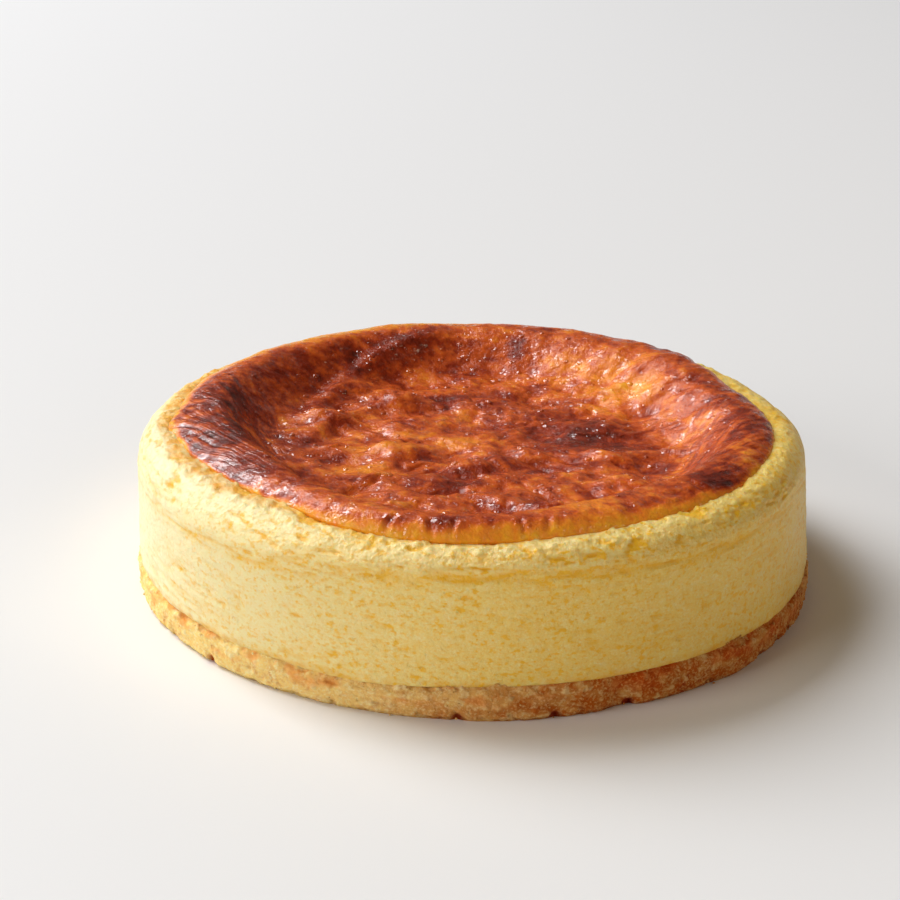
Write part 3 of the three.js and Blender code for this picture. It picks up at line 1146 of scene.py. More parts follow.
@dataclass
class CheeseBody:
    """The baked cheese: straight sponge-like wall, torn ledge, and the rim that meets the skin.

    Depths and heights of the sponge's own relief are in mm.
    """

    form: CakeForm
    noise: Noise
    columns: int = 900
    rows: tuple[int, ...] = (3, 50, 34, 8, 4)
    rounding: float = 0.7 * MM
    tuck: float = 0.6 * MM
    hidden_step: float = 2 * MM
    under_floor: float = 3 * MM
    pit_size: tuple[float, ...] = (5.5, 5.5, 1.7)
    pore_size: tuple[float, ...] = (2.4, 2.4, 1.1)
    pit_depth: float = 0.3
    pore_depth: float = 0.14
    tear_depth: float = 0.34
    hole_depth: float = 0.3
    cut_depth: float = 0.3
    tuft_height: float = 0.65
    # Where the painted light on the left wall is centred, and its spread in degrees.
    painted_light_at: float = 290.0
    painted_light_spread: float = 50.0

    def _underside(self, part: Array, azimuth: Array) -> tuple[Array, Array]:
        """Flat underside, sunk a little into the biscuit so that no light shows through."""
        radius = (self.form.ring_radius - self.rounding) * part
        return radius, self.form.seam_at(azimuth, radius) - self.tuck

    def _wall(self, part: Array, azimuth: Array) -> tuple[Array, Array]:
        """The wall from the seam to the shoulder."""
        foot = self.form.seam_at(azimuth, self.form.ring_radius) - self.tuck
        height = mix(foot, self.form.shoulder_at(azimuth), part)
        return self.form.wall_at(azimuth, height), height

    def _rim(self, part: Array, azimuth: Array) -> tuple[Array, Array]:
        """The rim that stands against the skin, and goes down behind it."""
        radius = self.form.lip_at(azimuth) + self.form.groove_width * (1 - 2 * part)
        fall = smooth_step(part, 0.72, 1)
        return radius, self.form.lip_top(azimuth) - 2 * self.form.groove_depth * fall

    def _hidden(self, part: Array, azimuth: Array) -> tuple[Array, Array]:
        """The top under the skin, which nothing shows of."""
        lip = self.form.lip_at(azimuth) - self.form.groove_width
        radius = lip * (1 - part)
        outer = smooth_step(radius, self.form.foot_radius, lip - self.hidden_step)
        rise = self.form.lip_top(azimuth) - 2 * self.form.groove_depth
        return radius, mix(self.form.floor_height - self.under_floor, rise, outer) - self.hidden_step * part

    def build(self, material: bpy.types.Material) -> None:
        """Builds and dresses the piece.

        Args:
            material: the cheese finish.
        """
        places = (self._underside, self._wall, self.form.ledge, self._rim, self._hidden)
        sheet = WoundSheet("cheese_body", self.columns, tuple(map(Band, self.rows, places)))
        sheet.wind()
        self._tear(sheet)
        sheet.finish(material, "cheese_filling")

    def _tear(self, sheet: WoundSheet) -> None:
        """Adds the sponge, its pits and the torn ledge, and marks where the cheese is golden with painted
        shade in its hollows, where painted light whitens it, and where it is toasted.
        """
        points = read_points(sheet.piece)
        azimuth = sheet.azimuth
        noise = self.noise
        below_lip = self.form.lip_top(azimuth) - points[:, 2]
        below_shoulder = self.form.shoulder_at(azimuth) - points[:, 2]
        low = bell(points[:, 2] - self.form.biscuit_height, 5 * MM)
        calm = 1 - 0.6 * near(azimuth, 78, 50)
        crumbly = 1 - smooth_step(below_lip, 2.6 * MM, 7 * MM)
        rim = 1 - smooth_step(below_lip, 0.3 * MM, 1.6 * MM)
        cut = np.sin(math.pi * sheet.part) * (sheet.band == CheeseBand.LEDGE) * near(azimuth, 0, 60)
        lumps = 0.2 * noise.smooth(points, 16, 16, 8) + 0.1 * noise.rough(points, 3.4, 3.4, 2)
        pits = noise.dots(points, self.pit_size, 0.72, (0.42, 0.08))
        pores = noise.dots(points + 0.02, self.pore_size, 0.6 - 0.25 * low, (0.42, 0.08))
        patchy = 0.6 * smooth_step(noise.smooth(points, 26, 26, 12), 0.05, 0.4)
        torn_at = np.maximum(patchy, bell(below_shoulder - 1.2 * MM, 1.7 * MM))
        tears = noise.creases(points, 12, 12, 1.9) * torn_at
        tufts = np.clip(noise.rough(points + 0.13, 2.2, 2.2, 1.6), 0, 1)
        torn = 0.24 * noise.smooth(points, 9, 9, 3) + 0.11 * noise.rough(points + 0.04, 3.6, 3.6, 2)
        torn = torn * calm
        holes = smooth_step(noise.rough(points + 0.09, 5, 5, 1.6), 0.25, 0.7) * crumbly * calm
        hollowed = self.pit_depth * pits + self.pore_depth * pores + self.tear_depth * tears
        hollowed = hollowed + self.hole_depth * holes + self.cut_depth * cut
        amount = lumps + torn * crumbly + self.tuft_height * tufts * rim * calm - hollowed
        shown = np.isin(sheet.band, (CheeseBand.WALL, CheeseBand.LEDGE, CheeseBand.RIM))
        sheet.push(amount * MM * shown)

        # Painted light: the left wall that the window lights and the front ledge that faces up to it are
        # whitened, with fewer golden hollows.
        painted_left_light = near(azimuth, self.painted_light_at, self.painted_light_spread)
        painted_ledge_light = 0.4 * crumbly * near(azimuth, 350, 50)
        crumb = smooth_step(-torn - 0.1 * tufts, 0.02, 0.22) * crumbly * calm
        under = bell(below_shoulder - 1.4 * MM, 1.6 * MM)
        under = under * np.clip(0.5 + noise.smooth(points, 14, 14, 4), 0, 1)
        # hollow_shade is golden painted shade in the pits, pores, tears, holes and torn crumb, and in the
        # crease under the shoulder.
        hollow_shade = 0.8 * pits + 0.35 * pores + 0.9 * tears + holes + 0.45 * crumb + 0.28 * under
        write_attribute(sheet.piece, "hollow_shade", np.clip(hollow_shade * (1 - 0.35 * painted_left_light), 0, 1))
        write_attribute(sheet.piece, "ragged", 0.4 + 0.6 * crumbly * calm)
        write_attribute(sheet.piece, "painted_light", np.maximum(painted_left_light, painted_ledge_light))
        write_attribute(sheet.piece, "toast", self._toast(sheet, points, calm))

    def _toast(self, sheet: WoundSheet, points: Array, calm: Array) -> Array:
        """How toasted each point is: most beside the skin, and a little along the seam.

        Args:
            sheet: the wound piece.
            points: its points before the relief.
            calm: less than 1 where the ledge is even.

        Returns:
            Numbers from 0 to 1.
        """
        ledge = np.where(sheet.band == CheeseBand.LEDGE, sheet.part, 0.0)
        near_lip = np.where(sheet.band == CheeseBand.RIM, 1.0, ledge)
        left = near(sheet.azimuth, 308, 26)
        back = near(sheet.azimuth, 222, 55)
        reach = 0.95 - 0.2 * left - 0.4 * back + 0.1 * self.noise.smooth(points, 6)
        toast = smooth_step(near_lip, reach, reach + 0.16) * (0.7 + 0.6 * self.noise.rough(points, 2.4)) * calm
        seam = self.form.seam_at(sheet.azimuth, sheet.radius())
        soaked = bell(points[:, 2] - seam, 1.0 * MM) * (0.35 + 0.6 * self.noise.smooth(points, 2.6))
        return np.clip(toast + soaked, 0, 1)


class SkinBand(IntEnum):
    """The bands of the browned skin, from the middle of its underside to the middle of its top."""

    UNDER_MIDDLE = 0
    UNDER_SLOPE = 1
    EDGE = 2
    ROLL = 3
    SLOPE = 4
    MIDDLE = 5


@dataclass
class BrownedSkin:
    """The glossy skin: rolled rim, folded slope and sunken, rippled middle."""

    form: CakeForm
    noise: Noise
    top: float
    soft_top: float = 0.5 * MM
    columns: int = 830
    rows: tuple[int, ...] = (2, 2, 1, 24, 32, 58)
    thickness: float = 3 * MM
    edge_tuck: float = 0.5 * MM
    edge_depth: float = 1.5 * MM
    calm: Patch = Patch(30, 3, 17, 13, 0.6, -10)
    fan_centre: float = -95 * MM
    drip_middle: float = 128.0
    even_browning: float = 0.69
    scorch_limit: float = 0.11
    lip_browning: float = 0.2
    ridges: tuple[Ridge, ...] = (
        Ridge(((3, -2), (-4, 1), (-9, 3), (-13, 1), (-14, -2), (-19, -5), (-25, -6), (-33, -4)), 4.5, 0.9),
        Ridge(((5, -10), (-1, -13), (-5, -16), (-9, -20), (-14, -21), (-20, -21), (-24, -24)), 4.5, 0.9),
        Ridge(((46, -3), (39, -5), (34, -8), (30, -8), (28, -5), (25, -3), (19, -5), (12, -6)), 4.5, 0.9),
        Ridge(((24, -17), (13, -20), (7, -19), (3, -22), (-1, -28)), 4, 0.8),
        Ridge(((36, -22), (22, -25), (16, -28), (10, -31), (5, -35)), 4, 0.8),
        Ridge(((-2, -33), (-8, -35), (-14, -36), (-18, -39)), 4, 0.6),
        Ridge(((16, 24), (6, 26), (-6, 26), (-19, 27)), 5, 0.8),
        Ridge(((-28, 13), (-38, 15), (-46, 18)), 3, 0.6),
    )
    dents: tuple[Dent, ...] = (
        Dent(320, 1.6, 0.3, 2),
        Dent(334.5, 2.4, 0.25, 1),
        Dent(345.7, 1.1, 0.55, 2.2),
        Dent(352.5, 1.2, 0.6, -0.8),
        Dent(356.5, 1.0, 0.6, 1),
        Dent(8.2, 1.0, 0.5, -0.8),
        Dent(13, 1.2, 0.35, 0.5),
        Dent(29, 2.0, 0.3, -1),
        Dent(46, 1.6, 0.5, -1),
        Dent(70, 1.8, 0.3, -1.5),
    )
    # Among the patches, the paler ones on the back-right slope are painted light where it faces the window,
    # and the darker ones on the left and back-left inner slopes are painted shade where these face away from
    # it.
    patches: tuple[Patch, ...] = (
        Patch(-34, 42, 24, 7, 0.2, 48),
        Patch(-13, 56, 12, 3, 0.24),
        Patch(-56, 8, 7, 10, 0.2, -15),
        Patch(-50, -14, 4, 16, 0.22, -28),
        Patch(-58, -18, 2, 14, 0.18, -30),
        Patch(-41, -1, 5, 3, 0.14),
        Patch(-38, -18, 2, 9, 0.2, -28),
        Patch(10, 55, 4, 4, 0.25),
        Patch(-9, 31, 16, 3, 0.26),
        Patch(-5, 25, 20, 3, 0.16),
        Patch(16, 38, 8, 4, 0.14),
        Patch(6, -13, 6, 4, 0.24),
        Patch(17, -13, 9, 4, 0.22),
        Patch(-5, -26, 9, 4, 0.28, 10),
        Patch(-7, -18, 9, 2.5, 0.14),
        Patch(13, -41, 8, 2, 0.34, -8),
        Patch(-7, -68, 4.5, 2.5, 0.22),
        Patch(10, -68, 2, 3, 0.2),
        Patch(52, -43, 4, 6, 0.28, -45),
        Patch(43, -37, 9, 2.5, 0.22, 32),
        Patch(56, 22, 3, 12, 0.12, 22),
        Patch(50, 44, 8, 3, 0.2, -42),
        Patch(-3, 1, 13, 5, -0.16),
        Patch(-26, -5, 9, 3, -0.16),
        Patch(-24, -17, 10, 4, -0.16),
        Patch(22, 45, 9, 8, -0.18, -40),
        Patch(35, 34, 12, 8, -0.22, -45),
        Patch(48, 18, 12, 7, -0.2, -65),
        Patch(27, 5, 22, 13, 0.3, -10),
        Patch(32, 22, 8, 3, -0.16, -40),
        Patch(50, 0, 6, 6, -0.14),
        Patch(30, -40, 10, 5, -0.22, 30),
        Patch(61, -28, 4, 9, -0.18, 25),
        Patch(-30, -58, 14, 4, -0.12, -25),
        Patch(23, -60, 10, 4, -0.2, 22),
    )

    def _under(self, place: Place) -> Place:
        """The same way sunk by the skin's thickness, for its hidden underside."""

        def sunk(part: Array, azimuth: Array) -> tuple[Array, Array]:
            """Radius and height below the skin, from the inside out."""
            radius, height = place(1 - part, azimuth)
            return radius, height - self.thickness

        return sunk

    def _edge(self, part: Array, azimuth: Array) -> tuple[Array, Array]:
        """The skin's edge, from inside the cheese up to the groove."""
        radius = self.form.lip_at(azimuth) - self.edge_tuck * (1 - part)
        return radius, self.form.lip_top(azimuth) - self.form.groove_depth - self.edge_depth * (1 - part)

    def build(self, material: bpy.types.Material) -> bpy.types.Object:
        """Builds and dresses the piece.

        Args:
            material: the skin finish.

        Returns:
            The skin's object.
        """
        form = self.form
        hidden = (self._under(form.middle), self._under(form.slope), self._edge)
        places = (*hidden, form.roll, form.slope, form.middle)
        sheet = WoundSheet("browned_skin", self.columns, tuple(map(Band, self.rows, places)))
        sheet.wind()
        points = read_points(sheet.piece)
        fan = self._fan(points)
        sides = self._sides(sheet)
        relief = self._wrinkle(sheet, points, fan, sides)
        write_places(sheet.piece, "fan_place", fan)
        write_attribute(sheet.piece, "fan_share", sides)
        write_attribute(sheet.piece, "browning_light_and_shade", self._browning_light_and_shade(sheet, points, relief))
        write_attribute(sheet.piece, "gloss", self._gloss(sheet, points, relief))
        self._settle(sheet.piece)
        sheet.finish(material, "cheese_filling")
        return sheet.piece

    def _settle(self, piece: bpy.types.Object) -> None:
        """Presses the highest wrinkles softly under the top of the CAD model."""
        points = read_points(piece)
        free = self.top - self.soft_top
        above = np.maximum(points[:, 2] - free, 0)
        points[:, 2] = np.minimum(points[:, 2], free) + self.soft_top * (1 - np.exp(-above / self.soft_top))
        write_points(piece, points)

    def _fan(self, points: Array) -> Array:
        """Places measured across and along the fan of fine wrinkles."""
        ahead = points[:, 1] - self.fan_centre
        across = np.arctan2(points[:, 0], ahead) * abs(self.fan_centre)
        across = across + MM * (1.6 * self.noise.smooth(points, 13) + 0.5 * self.noise.smooth(points, 5))
        return np.stack([across, np.hypot(points[:, 0], ahead), points[:, 2]], axis=1)

    def _sides(self, sheet: WoundSheet) -> Array:
        """1 where the roll has the fan of fine wrinkles, at the left and the right."""
        outer = smooth_step(sheet.radius(), 42 * MM, 52 * MM)
        return (near(sheet.azimuth, 282, 30) + 0.7 * near(sheet.azimuth, 76, 32)) * outer

    def _face(self, sheet: WoundSheet) -> Array:
        """How far up each point is: 0 at the lip, 1 at the crest and 2 at the foot of the slope."""
        band = sheet.band
        bands = [band < SkinBand.ROLL, band == SkinBand.ROLL, band == SkinBand.SLOPE]
        return np.select(bands, [0.0, sheet.part, 1 + sheet.part], 2.0)

    def _dented(self, sheet: WoundSheet, face: Array) -> Array:
        """Depth of the upright dents in mm, with a little rise beside each."""
        depth = np.zeros(len(face))
        for dent in self.dents:
            turned = degrees_from(sheet.azimuth, dent.at + dent.lean * (face - 0.5))
            away = np.radians(turned) * self.form.lip_radius / (dent.width * MM)
            depth += dent.depth * (bell(away, 0.6) - 0.45 * bell(np.abs(away) - 1.1, 0.6))
        return depth * bell(face - 0.45, 0.38)

    def _hills(self, points: Array) -> Array:
        """Pillow-like hills of the sunken middle in mm, with narrow valleys and steep backs."""
        bent = points * np.array([1, 1, 0])
        bent[:, 0] += 3 * MM * self.noise.smooth(points, 14)
        bent[:, 1] += 3 * MM * self.noise.smooth(points + 0.4, 14)
        bent[:, 1] -= 1.4 * MM * np.abs(self.noise.smooth(bent, 13, 10, 1))
        large = np.minimum(2.4 * np.abs(self.noise.smooth(bent, 13, 10, 1)), 1)
        small = np.minimum(2.4 * np.abs(self.noise.smooth(bent + 0.05, 5.5, 4.6, 1)), 1)
        return 0.8 * large + 0.4 * small + 0.12 * self.noise.smooth(bent + 0.11, 2.4, 2.1, 1) - 0.65

    def _wrinkle(self, sheet: WoundSheet, points: Array, fan: Array, sides: Array) -> Array:
        """Adds ridges, hills, wrinkles, dents and drips.

        Args:
            sheet: the wound piece.
            points: its points before anything is added.
            fan: the places in the fan of fine wrinkles.
            sides: how much of the fan each point has.

        Returns:
            The height in mm that each point has gained.
        """
        noise = self.noise
        radius = sheet.radius()
        face = self._face(sheet)
        outer = smooth_step(radius, 44 * MM, 54 * MM)
        lines = noise.creases(fan, 2.3, 34, 40) + 0.5 * noise.smooth(fan + 0.1, 1.3, 22, 30)
        swept = noise.smooth(fan + 0.2, 4.5, 40, 60)
        turn = np.radians(sheet.azimuth)
        ring = np.stack([np.cos(turn) * 60 * MM, np.sin(turn) * 60 * MM, radius], axis=1)
        drips = noise.smooth(ring, 4.6, 4.6, 9) + 0.7 * noise.smooth(ring + 0.1, 2.4, 2.4, 4)
        ridged = sum(ridge.height_at(points) for ridge in self.ridges) / MM
        amount = (
            (0.18 * lines + 0.34 * swept) * sides
            + (1 - outer) * self._hills(points) * (1 - self.calm.strength_at(points))
            + ridged
            + 0.3 * drips * near(sheet.azimuth, self.drip_middle, 42) * outer
            + 0.25 * noise.smooth(points + 0.3, 8)
            + 0.12 * noise.rough(points, 2.6)
            - self._dented(sheet, face)
        )
        amount = amount * smooth_step(face, 0, 0.1)
        sheet.push(amount * MM * (sheet.band >= SkinBand.ROLL))
        return amount

    def _browning_light_and_shade(self, sheet: WoundSheet, points: Array, relief: Array) -> Array:
        """How brown each point of the skin is, with painted shade on the inner slopes that face away from the
        window and in the valleys, and painted light on the back-right slope.

        Args:
            sheet: the wound piece.
            points: its points before the wrinkles.
            relief: the height that each has gained, in mm.

        Returns:
            Numbers from 0 to 1.
        """
        azimuth = sheet.azimuth
        outside = smooth_step(sheet.radius(), 50 * MM, 60 * MM)
        # Darker round the left: painted shade on the inner slope that faces away from the window; a little
        # darker round the right.
        brown = 0.53 + 0.08 * outside * (near(azimuth, 80, 40) + 1.9 * near(azimuth, 290, 36))
        for patch in self.patches:
            brown += 0.75 * patch.strength_at(points)
        brown += 0.09 * self.noise.rough(points, 14, 7, 14)
        # Painted shade: darker in the valleys and paler on the hilltops.
        brown += 0.07 * self.noise.rough(points + 0.07, 5, 3, 5) - 0.06 * np.clip(relief, -1, 1)
        past = np.maximum(brown - self.even_browning, 0) / self.scorch_limit
        brown = np.minimum(brown, self.even_browning) + self.scorch_limit * np.tanh(past)
        front = near(azimuth, 5, 40)
        back = near(azimuth, 212, 44)
        left = near(azimuth, 300, 40)
        right = near(azimuth, 72, 34)
        reach = 0.25 + 0.45 * front - 0.24 * left - 0.16 * right + 1.1 * back
        reach = np.maximum(reach + 0.12 * self.noise.smooth(points, 7), 0.06)
        pale = 1 - smooth_step(self._face(sheet), 0.6 * back, reach)
        return np.clip(mix(brown, self.lip_browning, np.clip(pale, 0, 1)), 0, 1)

    def _gloss(self, sheet: WoundSheet, points: Array, relief: Array) -> Array:
        """How oily each point is: most in dents, on hilltops and on the lower left of the roll.

        Args:
            sheet: the wound piece.
            points: its points before the wrinkles.
            relief: the height that each has gained, in mm.

        Returns:
            A number for each point.
        """
        face = self._face(sheet)
        left = near(sheet.azimuth, 305, 26) * bell(face - 0.25, 0.22)
        broken = smooth_step(self.noise.rough(points + 0.21, 4), -0.1, 0.3)
        dented = np.clip(np.abs(self._dented(sheet, face)), 0, 0.5)
        oily = 0.08 + 0.06 * self.noise.smooth(points, 9) + 0.12 * np.clip(relief, 0, 1)
        return oily + 0.8 * left * broken + 1.28 * dented


def painted_side_shade(azimuth: Array) -> Array:
    """How much painted shade darkens the biscuit round the cake: most at the front right, the side away from
    the window.
    """
    return 0.98 * near(azimuth, 54, 50) + 0.4 * near(azimuth, 12, 24)


@dataclass
class BiscuitBase:
    """The pressed biscuit layer, coarse and ragged at its edge."""

    form: CakeForm
    noise: Noise
    columns: int = 1100
    rows: tuple[int, ...] = (6, 22, 8)
    foot_round: float = 0.8 * MM
    top_round: float = 1.3 * MM
    lap: float = 0.2 * MM
    nicks: tuple[float, ...] = (315.0, 358.0, 12.5, 24.5, 63.0, 190.0, 247.0)
    nick_spread: float = 0.8

    def _underside(self, part: Array, azimuth: Array) -> tuple[Array, Array]:
        """The flat underside."""
        return (self.form.biscuit_at(azimuth) - self.foot_round) * part, np.zeros(len(part))

    def _edge(self, part: Array, azimuth: Array) -> tuple[Array, Array]:
        """The edge, rounded at its foot and its top."""
        top = self.form.seam_at(azimuth, self.form.ring_radius) + self.lap
        height = top * part
        foot = self.foot_round * (1 - smooth_step(height, 0, self.foot_round))
        shoulder = self.top_round * smooth_step(height, top - 2 * self.top_round, top) ** 2
        return self.form.biscuit_at(azimuth) - foot - shoulder, height

    def _top(self, part: Array, azimuth: Array) -> tuple[Array, Array]:
        """The top, which the cheese lies on."""
        radius = (self.form.biscuit_at(azimuth) - self.top_round) * (1 - part)
        return radius, self.form.seam_at(azimuth, radius) + self.lap

    def build(self, material: bpy.types.Material) -> None:
        """Builds and dresses the piece.

        Args:
            material: the biscuit finish.
        """
        places = (self._underside, self._edge, self._top)
        sheet = WoundSheet("biscuit_layer", self.columns, tuple(map(Band, self.rows, places)))
        sheet.wind()
        self._crumble(sheet)
        sheet.finish(material, "biscuit_base")

    def _crumble(self, sheet: WoundSheet) -> None:
        """Presses grains and gaps into the edge, and marks its grains, toasted places, and the painted shade
        in its hollows, on its front-right side and towards its foot.
        """
        points = read_points(sheet.piece)
        height = points[:, 2]
        noise = self.noise
        side = smooth_step(sheet.radius(), 77 * MM, 79.5 * MM)
        low = 1 - smooth_step(height, 0, 3.2 * MM)
        high = smooth_step(height, 5 * MM, 7 * MM)
        grains = noise.dots(points, (2.3,), 0.62, (0.4, 0.12))
        crumbs = noise.dots(points + 0.01, (1.1,), 0.4, (0.5, 0.15))
        gaps = smooth_step(noise.rough(points, 4.5, 4.5, 2.4), 0.6 - 0.2 * low, 1.0 - 0.25 * low)
        foot = low * smooth_step(noise.rough(points + 0.06, 3.4, 3.4, 6), 0.1, 0.7)
        nicked = sum(near(sheet.azimuth, nick, self.nick_spread) for nick in self.nicks)
        nicked = nicked * (1 - smooth_step(height, 0.5 * MM, 2.6 * MM))
        lumps = 0.25 * noise.rough(points, 7, 7, 4) + 0.4 * high * noise.smooth(points + 0.02, 2.6)
        lumps = lumps + 0.16 * noise.rough(points + 0.08, 1.7)
        amount = 0.32 * grains + 0.14 * crumbs + lumps - 0.7 * gaps - 0.8 * foot - 1.3 * nicked - 0.3
        moved = points + read_normals(sheet.piece) * (amount * side * MM)[:, None]
        uneven = noise.rough(points + 0.15, 3.4) + 0.3 * noise.rough(points + 0.19, 1.5)
        moved[:, 2] += MM * high * side * uneven
        moved[:, 2] = np.maximum(moved[:, 2], 0)
        moved[sheet.band == 0, 2] = 0
        write_points(sheet.piece, moved)

        # Painted shade: darker round the front right, away from the window, and towards the foot.
        mottle = 1 + 0.4 * noise.rough(points + 0.17, 4, 4, 2.5)
        painted_side_and_foot_shade = painted_side_shade(sheet.azimuth) * mottle * (1.14 - 0.2 * smooth_step(height, MM, 5 * MM))
        upper = smooth_step(height, 2 * MM, 5 * MM)
        toasted = upper * smooth_step(noise.rough(points + 0.23, 7, 7, 4), -0.1, 0.5)
        # hollow_shade paints shade in the gaps, the nicks and along the foot.
        tones = {
            "baked_and_shade": painted_side_and_foot_shade,
            "grain": 0.9 * grains + 0.35 * crumbs,
            "hollow_shade": 0.3 * gaps + 0.2 * foot + 1.5 * nicked,
            "toast": 0.75 * toasted,
        }
        for name, values in tones.items():
            write_attribute(sheet.piece, name, np.clip(values, 0, 1))


def join(pieces: list[bpy.types.Object], name: str) -> bpy.types.Object:
    """Joins some pieces into one whose origin is the frame's.

    Args:
        pieces: the pieces, each with its place in its mesh.
        name: the name of the joined piece.

    Returns:
        The joined piece.
    """
    bpy.ops.object.select_all(action="DESELECT")
    for piece in pieces:
        piece.select_set(True)
    bpy.context.view_layer.objects.active = pieces[0]
    bpy.ops.object.join()
    pieces[0].name = pieces[0].data.name = name
    return pieces[0]


@dataclass
class Blisters:
    """Small glossy blisters of the skin, which catch the light."""

    seed: int = 23
    count: int = 440
    reach: float = 62 * MM
    smallest: float = 0.35 * MM
    largest: float = 1.1 * MM
    longer: float = 0.4
    flatness: float = 0.5
    above: float = 1.0

    def build(self, skin: bpy.types.Object, material: bpy.types.Material) -> None:
        """Builds the blisters as one joined piece and dresses it.

        Args:
            skin: the finished skin, which they stand on.
            material: the skin finish.
        """
        draws = np.random.default_rng(self.seed)
        ground = BVHTree.FromObject(skin, bpy.context.evaluated_depsgraph_get())
        browning_light_and_shade = read_attribute(skin, "browning_light_and_shade")
        blisters = []
        tones = []
        for _ in range(self.count):
            radius = self.reach * math.sqrt(draws.random())
            turn = 2 * math.pi * draws.random()
            over = Vector((radius * math.sin(turn), -radius * math.cos(turn), self.above))
            place, normal, face, _ = ground.ray_cast(over, Vector((0, 0, -1)))
            blister = self._blister(draws, place, normal)
            blisters.append(blister)
            tones.append(np.full(len(blister.data.vertices), browning_light_and_shade[skin.data.polygons[face].vertices[0]]))
        piece = join(blisters, "skin_blisters")
        write_attribute(piece, "browning_light_and_shade", np.concatenate(tones))
        write_attribute(piece, "gloss", np.ones(len(piece.data.vertices)))
        dress(piece, material, "cheese_filling")

    def _blister(self, draws: np.random.Generator, place: Vector, normal: Vector) -> bpy.types.Object:
        """Adds one flattened dome that stands on the skin.

        Args:
            draws: the seeded draws.
            place: where it stands.
            normal: the skin's normal there.

        Returns:
            The blister's object, with its place in its mesh.
        """
        size = mix(self.smallest, self.largest, draws.random() ** 3)
        bpy.ops.mesh.primitive_uv_sphere_add(segments=8, ring_count=7, radius=size)
        blister = bpy.context.object
        turned = normal.to_track_quat("Z", "Y").to_matrix()
        points = read_points(blister) * np.array([1 + self.longer * draws.random(), 1, self.flatness])
        sunk = place - 0.5 * self.flatness * size * normal
        write_points(blister, points @ np.array(turned).T + np.array(sunk))
        return blister


@dataclass
class LooseCrumbs:
    """Small biscuit crumbs that cling to the edge and lie at its foot."""

    form: CakeForm
    seed: int = 11
    count: int = 620
    smallest: float = 0.3 * MM
    largest: float = 0.9 * MM
    at_foot: float = 0.08
    at_seam: float = 0.5
    pressed_in: float = 0.25 * MM
    spread: float = 0.25 * MM
    lightest: float = 0.6
    baked_and_shade: float = 0.85

    def build(self, material: bpy.types.Material) -> None:
        """Builds the crumbs as one joined piece and dresses it.

        Args:
            material: the biscuit finish.
        """
        draws = np.random.default_rng(self.seed)
        piece = join([self._crumb(draws) for _ in range(self.count)], "loose_crumbs")
        points = read_points(piece)
        azimuth = np.degrees(np.arctan2(points[:, 0], -points[:, 1]))
        # The crumbs get the same painted shade round the front right.
        tones = {
            "grain": draws.random(len(points)) * self.lightest,
            "hollow_shade": np.zeros(len(points)),
            "toast": np.zeros(len(points)),
            "baked_and_shade": np.clip(self.baked_and_shade * painted_side_shade(azimuth), 0, 1),
        }
        for name, values in tones.items():
            write_attribute(piece, name, values)
        dress(piece, material, "biscuit_base")

    def _crumb(self, draws: np.random.Generator) -> bpy.types.Object:
        """Adds one uneven crumb on the biscuit's edge.

        Args:
            draws: the seeded draws.

        Returns:
            The crumb's object, with its place in its mesh.
        """
        size = self.smallest + (self.largest - self.smallest) * draws.random() ** 2.5
        azimuth = draws.random() * TURN
        share = draws.random()
        seam = float(self.form.seam_at(np.array(azimuth), np.array(self.form.ring_radius)))
        edge = float(self.form.biscuit_at(np.array(azimuth))) - 0.36 * size - self.pressed_in
        if share < self.at_foot:
            radius, height = edge - 0.5 * MM, 0.5 * size
        elif share < self.at_foot + self.at_seam:
            radius, height = edge - 1.2 * MM, seam + 0.1 * MM + self.spread * draws.normal()
        else:
            radius, height = edge, draws.random() * seam
        turn = math.radians(azimuth)
        bpy.ops.mesh.primitive_uv_sphere_add(segments=8, ring_count=5, radius=size / 2)
        crumb = bpy.context.object
        points = read_points(crumb)
        points *= 1 + 0.175 * draws.normal(size=(len(points), 1)).clip(-1.2, 1.2)
        points *= 0.75 + 0.5 * draws.random(3)
        points += np.array([radius * math.sin(turn), -radius * math.cos(turn), height])
        points[:, 2] = np.maximum(points[:, 2], 0)
        write_points(crumb, points)
        return crumb


@dataclass(frozen=True)
class Lamp:
    """A flat soft light that shines at the cake: its place, size, watts and tint."""

    name: str
    direction: tuple[float, float, float]
    distance: float
    width: float
    height: float
    power: float
    tint: Colour = (1.0, 1.0, 1.0)


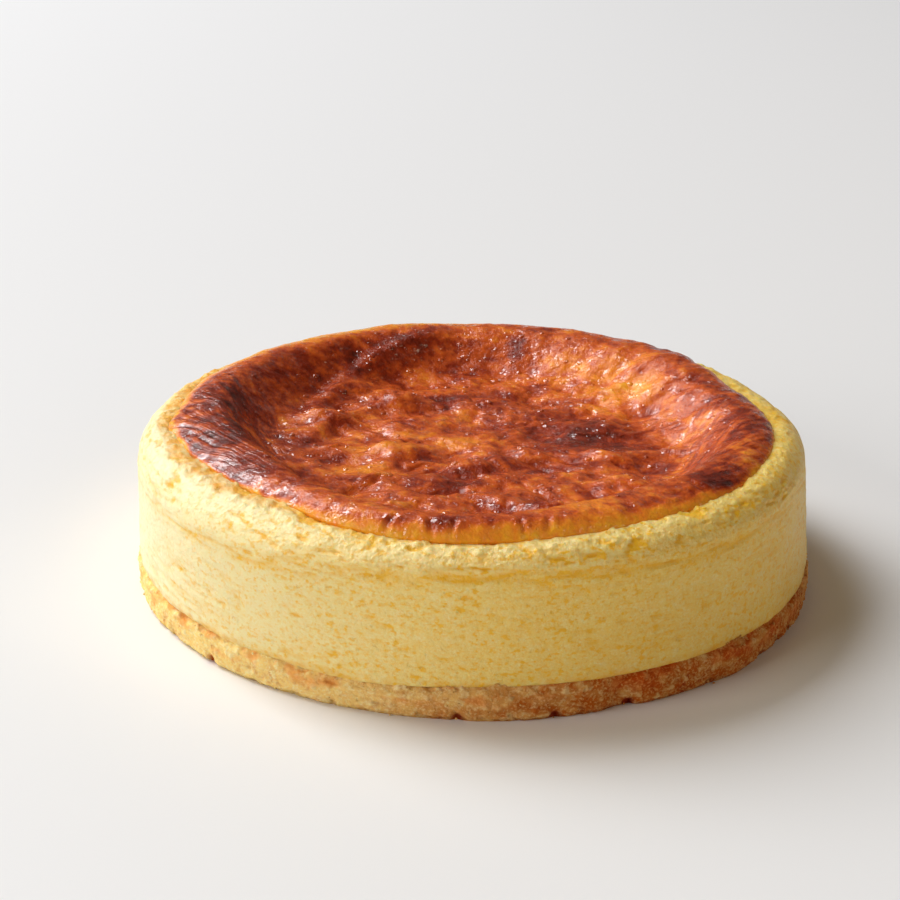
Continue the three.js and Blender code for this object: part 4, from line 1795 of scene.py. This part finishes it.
@dataclass(frozen=True)
class Studio:
    """The white floor, the light from the left and the camera of the photograph."""

    floor_size: float = 6.0
    floor_colour: Colour = seen(238, 237, 236)
    floor_roughness: float = 0.55
    lamps: tuple[Lamp, ...] = (
        Lamp("window", (-0.78, 0.6, 0.92), 3.6, 1.7, 2.9, 152.0, (0.975, 0.997, 1.03)),
        Lamp("front_left", (-0.85, -0.5, 0.4), 2.0, 1.0, 1.0, 17.0, (1.0, 0.985, 0.97)),
        Lamp("front_card", (0.75, -0.65, 0.5), 2.0, 1.0, 0.8, 6.2, (1.0, 0.84, 0.6)),
        Lamp("back_card", (0.1, 1.0, 0.45), 3.0, 3.0, 1.0, 2.0),
    )
    sky: Colour = (1.0, 0.82, 0.64)
    sky_strength: float = 0.06
    camera_place: tuple[float, float, float] = (0.0, -0.44445, 0.20396)
    pitch: float = 21.545
    yaw: float = -0.79
    roll: float = 0.78
    lens: float = 80.0
    sensor: float = 36.0

    def floor(self) -> None:
        """Adds the white floor."""
        bpy.ops.mesh.primitive_plane_add(size=self.floor_size, location=(0, 0, -0.05 * MM))
        floor = bpy.context.object
        floor.name = "floor"
        made, sheet = start_material("white_floor")
        sheet.close({"Base Color": (*self.floor_colour, 1.0), "Roughness": self.floor_roughness})
        floor.data.materials.append(made)

    def lights(self) -> None:
        """Adds the soft lights and the white fill from all round."""
        for lamp in self.lamps:
            away = Vector(lamp.direction).normalized()
            bpy.ops.object.light_add(type="AREA", location=away * lamp.distance)
            light = bpy.context.object
            light.name = lamp.name
            light.rotation_euler = away.to_track_quat("Z", "Y").to_euler()
            light.data.shape = "RECTANGLE"
            light.data.size = lamp.width
            light.data.size_y = lamp.height
            light.data.energy = lamp.power
            light.data.color = lamp.tint
        world = bpy.data.worlds.new("white_fill")
        world.use_nodes = True
        background = world.node_tree.nodes["Background"]
        background.inputs["Color"].default_value = (*self.sky, 1.0)
        background.inputs["Strength"].default_value = self.sky_strength
        bpy.context.scene.world = world

    def camera(self) -> None:
        """Adds the camera where the photograph was taken from."""
        pitch, yaw, roll = (math.radians(angle) for angle in (self.pitch, self.yaw, self.roll))
        ahead = Vector((math.sin(yaw) * math.cos(pitch), math.cos(yaw) * math.cos(pitch), -math.sin(pitch)))
        level = Vector((math.cos(yaw), -math.sin(yaw), 0))
        above = level.cross(ahead)
        right = math.cos(roll) * level + math.sin(roll) * above
        up = math.cos(roll) * above - math.sin(roll) * level
        bpy.ops.object.camera_add()
        camera = bpy.context.object
        turned = Matrix((right, up, -ahead)).transposed().to_4x4()
        camera.matrix_world = Matrix.Translation(self.camera_place) @ turned
        camera.data.lens = self.lens
        camera.data.sensor_width = self.sensor
        camera.data.clip_start = 0.01
        bpy.context.scene.camera = camera


def main() -> None:
    """Builds every piece in order and logs it."""
    logging.basicConfig(level=logging.INFO, format="%(name)s: %(message)s")
    bpy.ops.object.select_all(action="DESELECT")
    low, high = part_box("cheese_filling")
    form = CakeForm(ring_radius=(high.x - low.x) / 2)
    noise = Noise(seed=5)
    studio = Studio()
    studio.camera()
    studio.lights()
    studio.floor()
    effects = Effects()
    cheese = SpongeFinish().material(effects)
    skin = SkinFinish().material(effects)
    biscuit = BiscuitFinish().material(effects)
    BiscuitBase(form, noise).build(biscuit)
    LOG.info("biscuit layer built")
    LooseCrumbs(form).build(biscuit)
    LOG.info("loose crumbs built")
    CheeseBody(form, noise).build(cheese)
    LOG.info("cheese body built")
    surface = BrownedSkin(form, noise, high.z).build(skin)
    LOG.info("browned skin built")
    Blisters().build(surface, skin)
    LOG.info("skin blisters built")
    bpy.context.scene.view_settings.view_transform = "Standard"


if __name__ == "__main__":
    main()
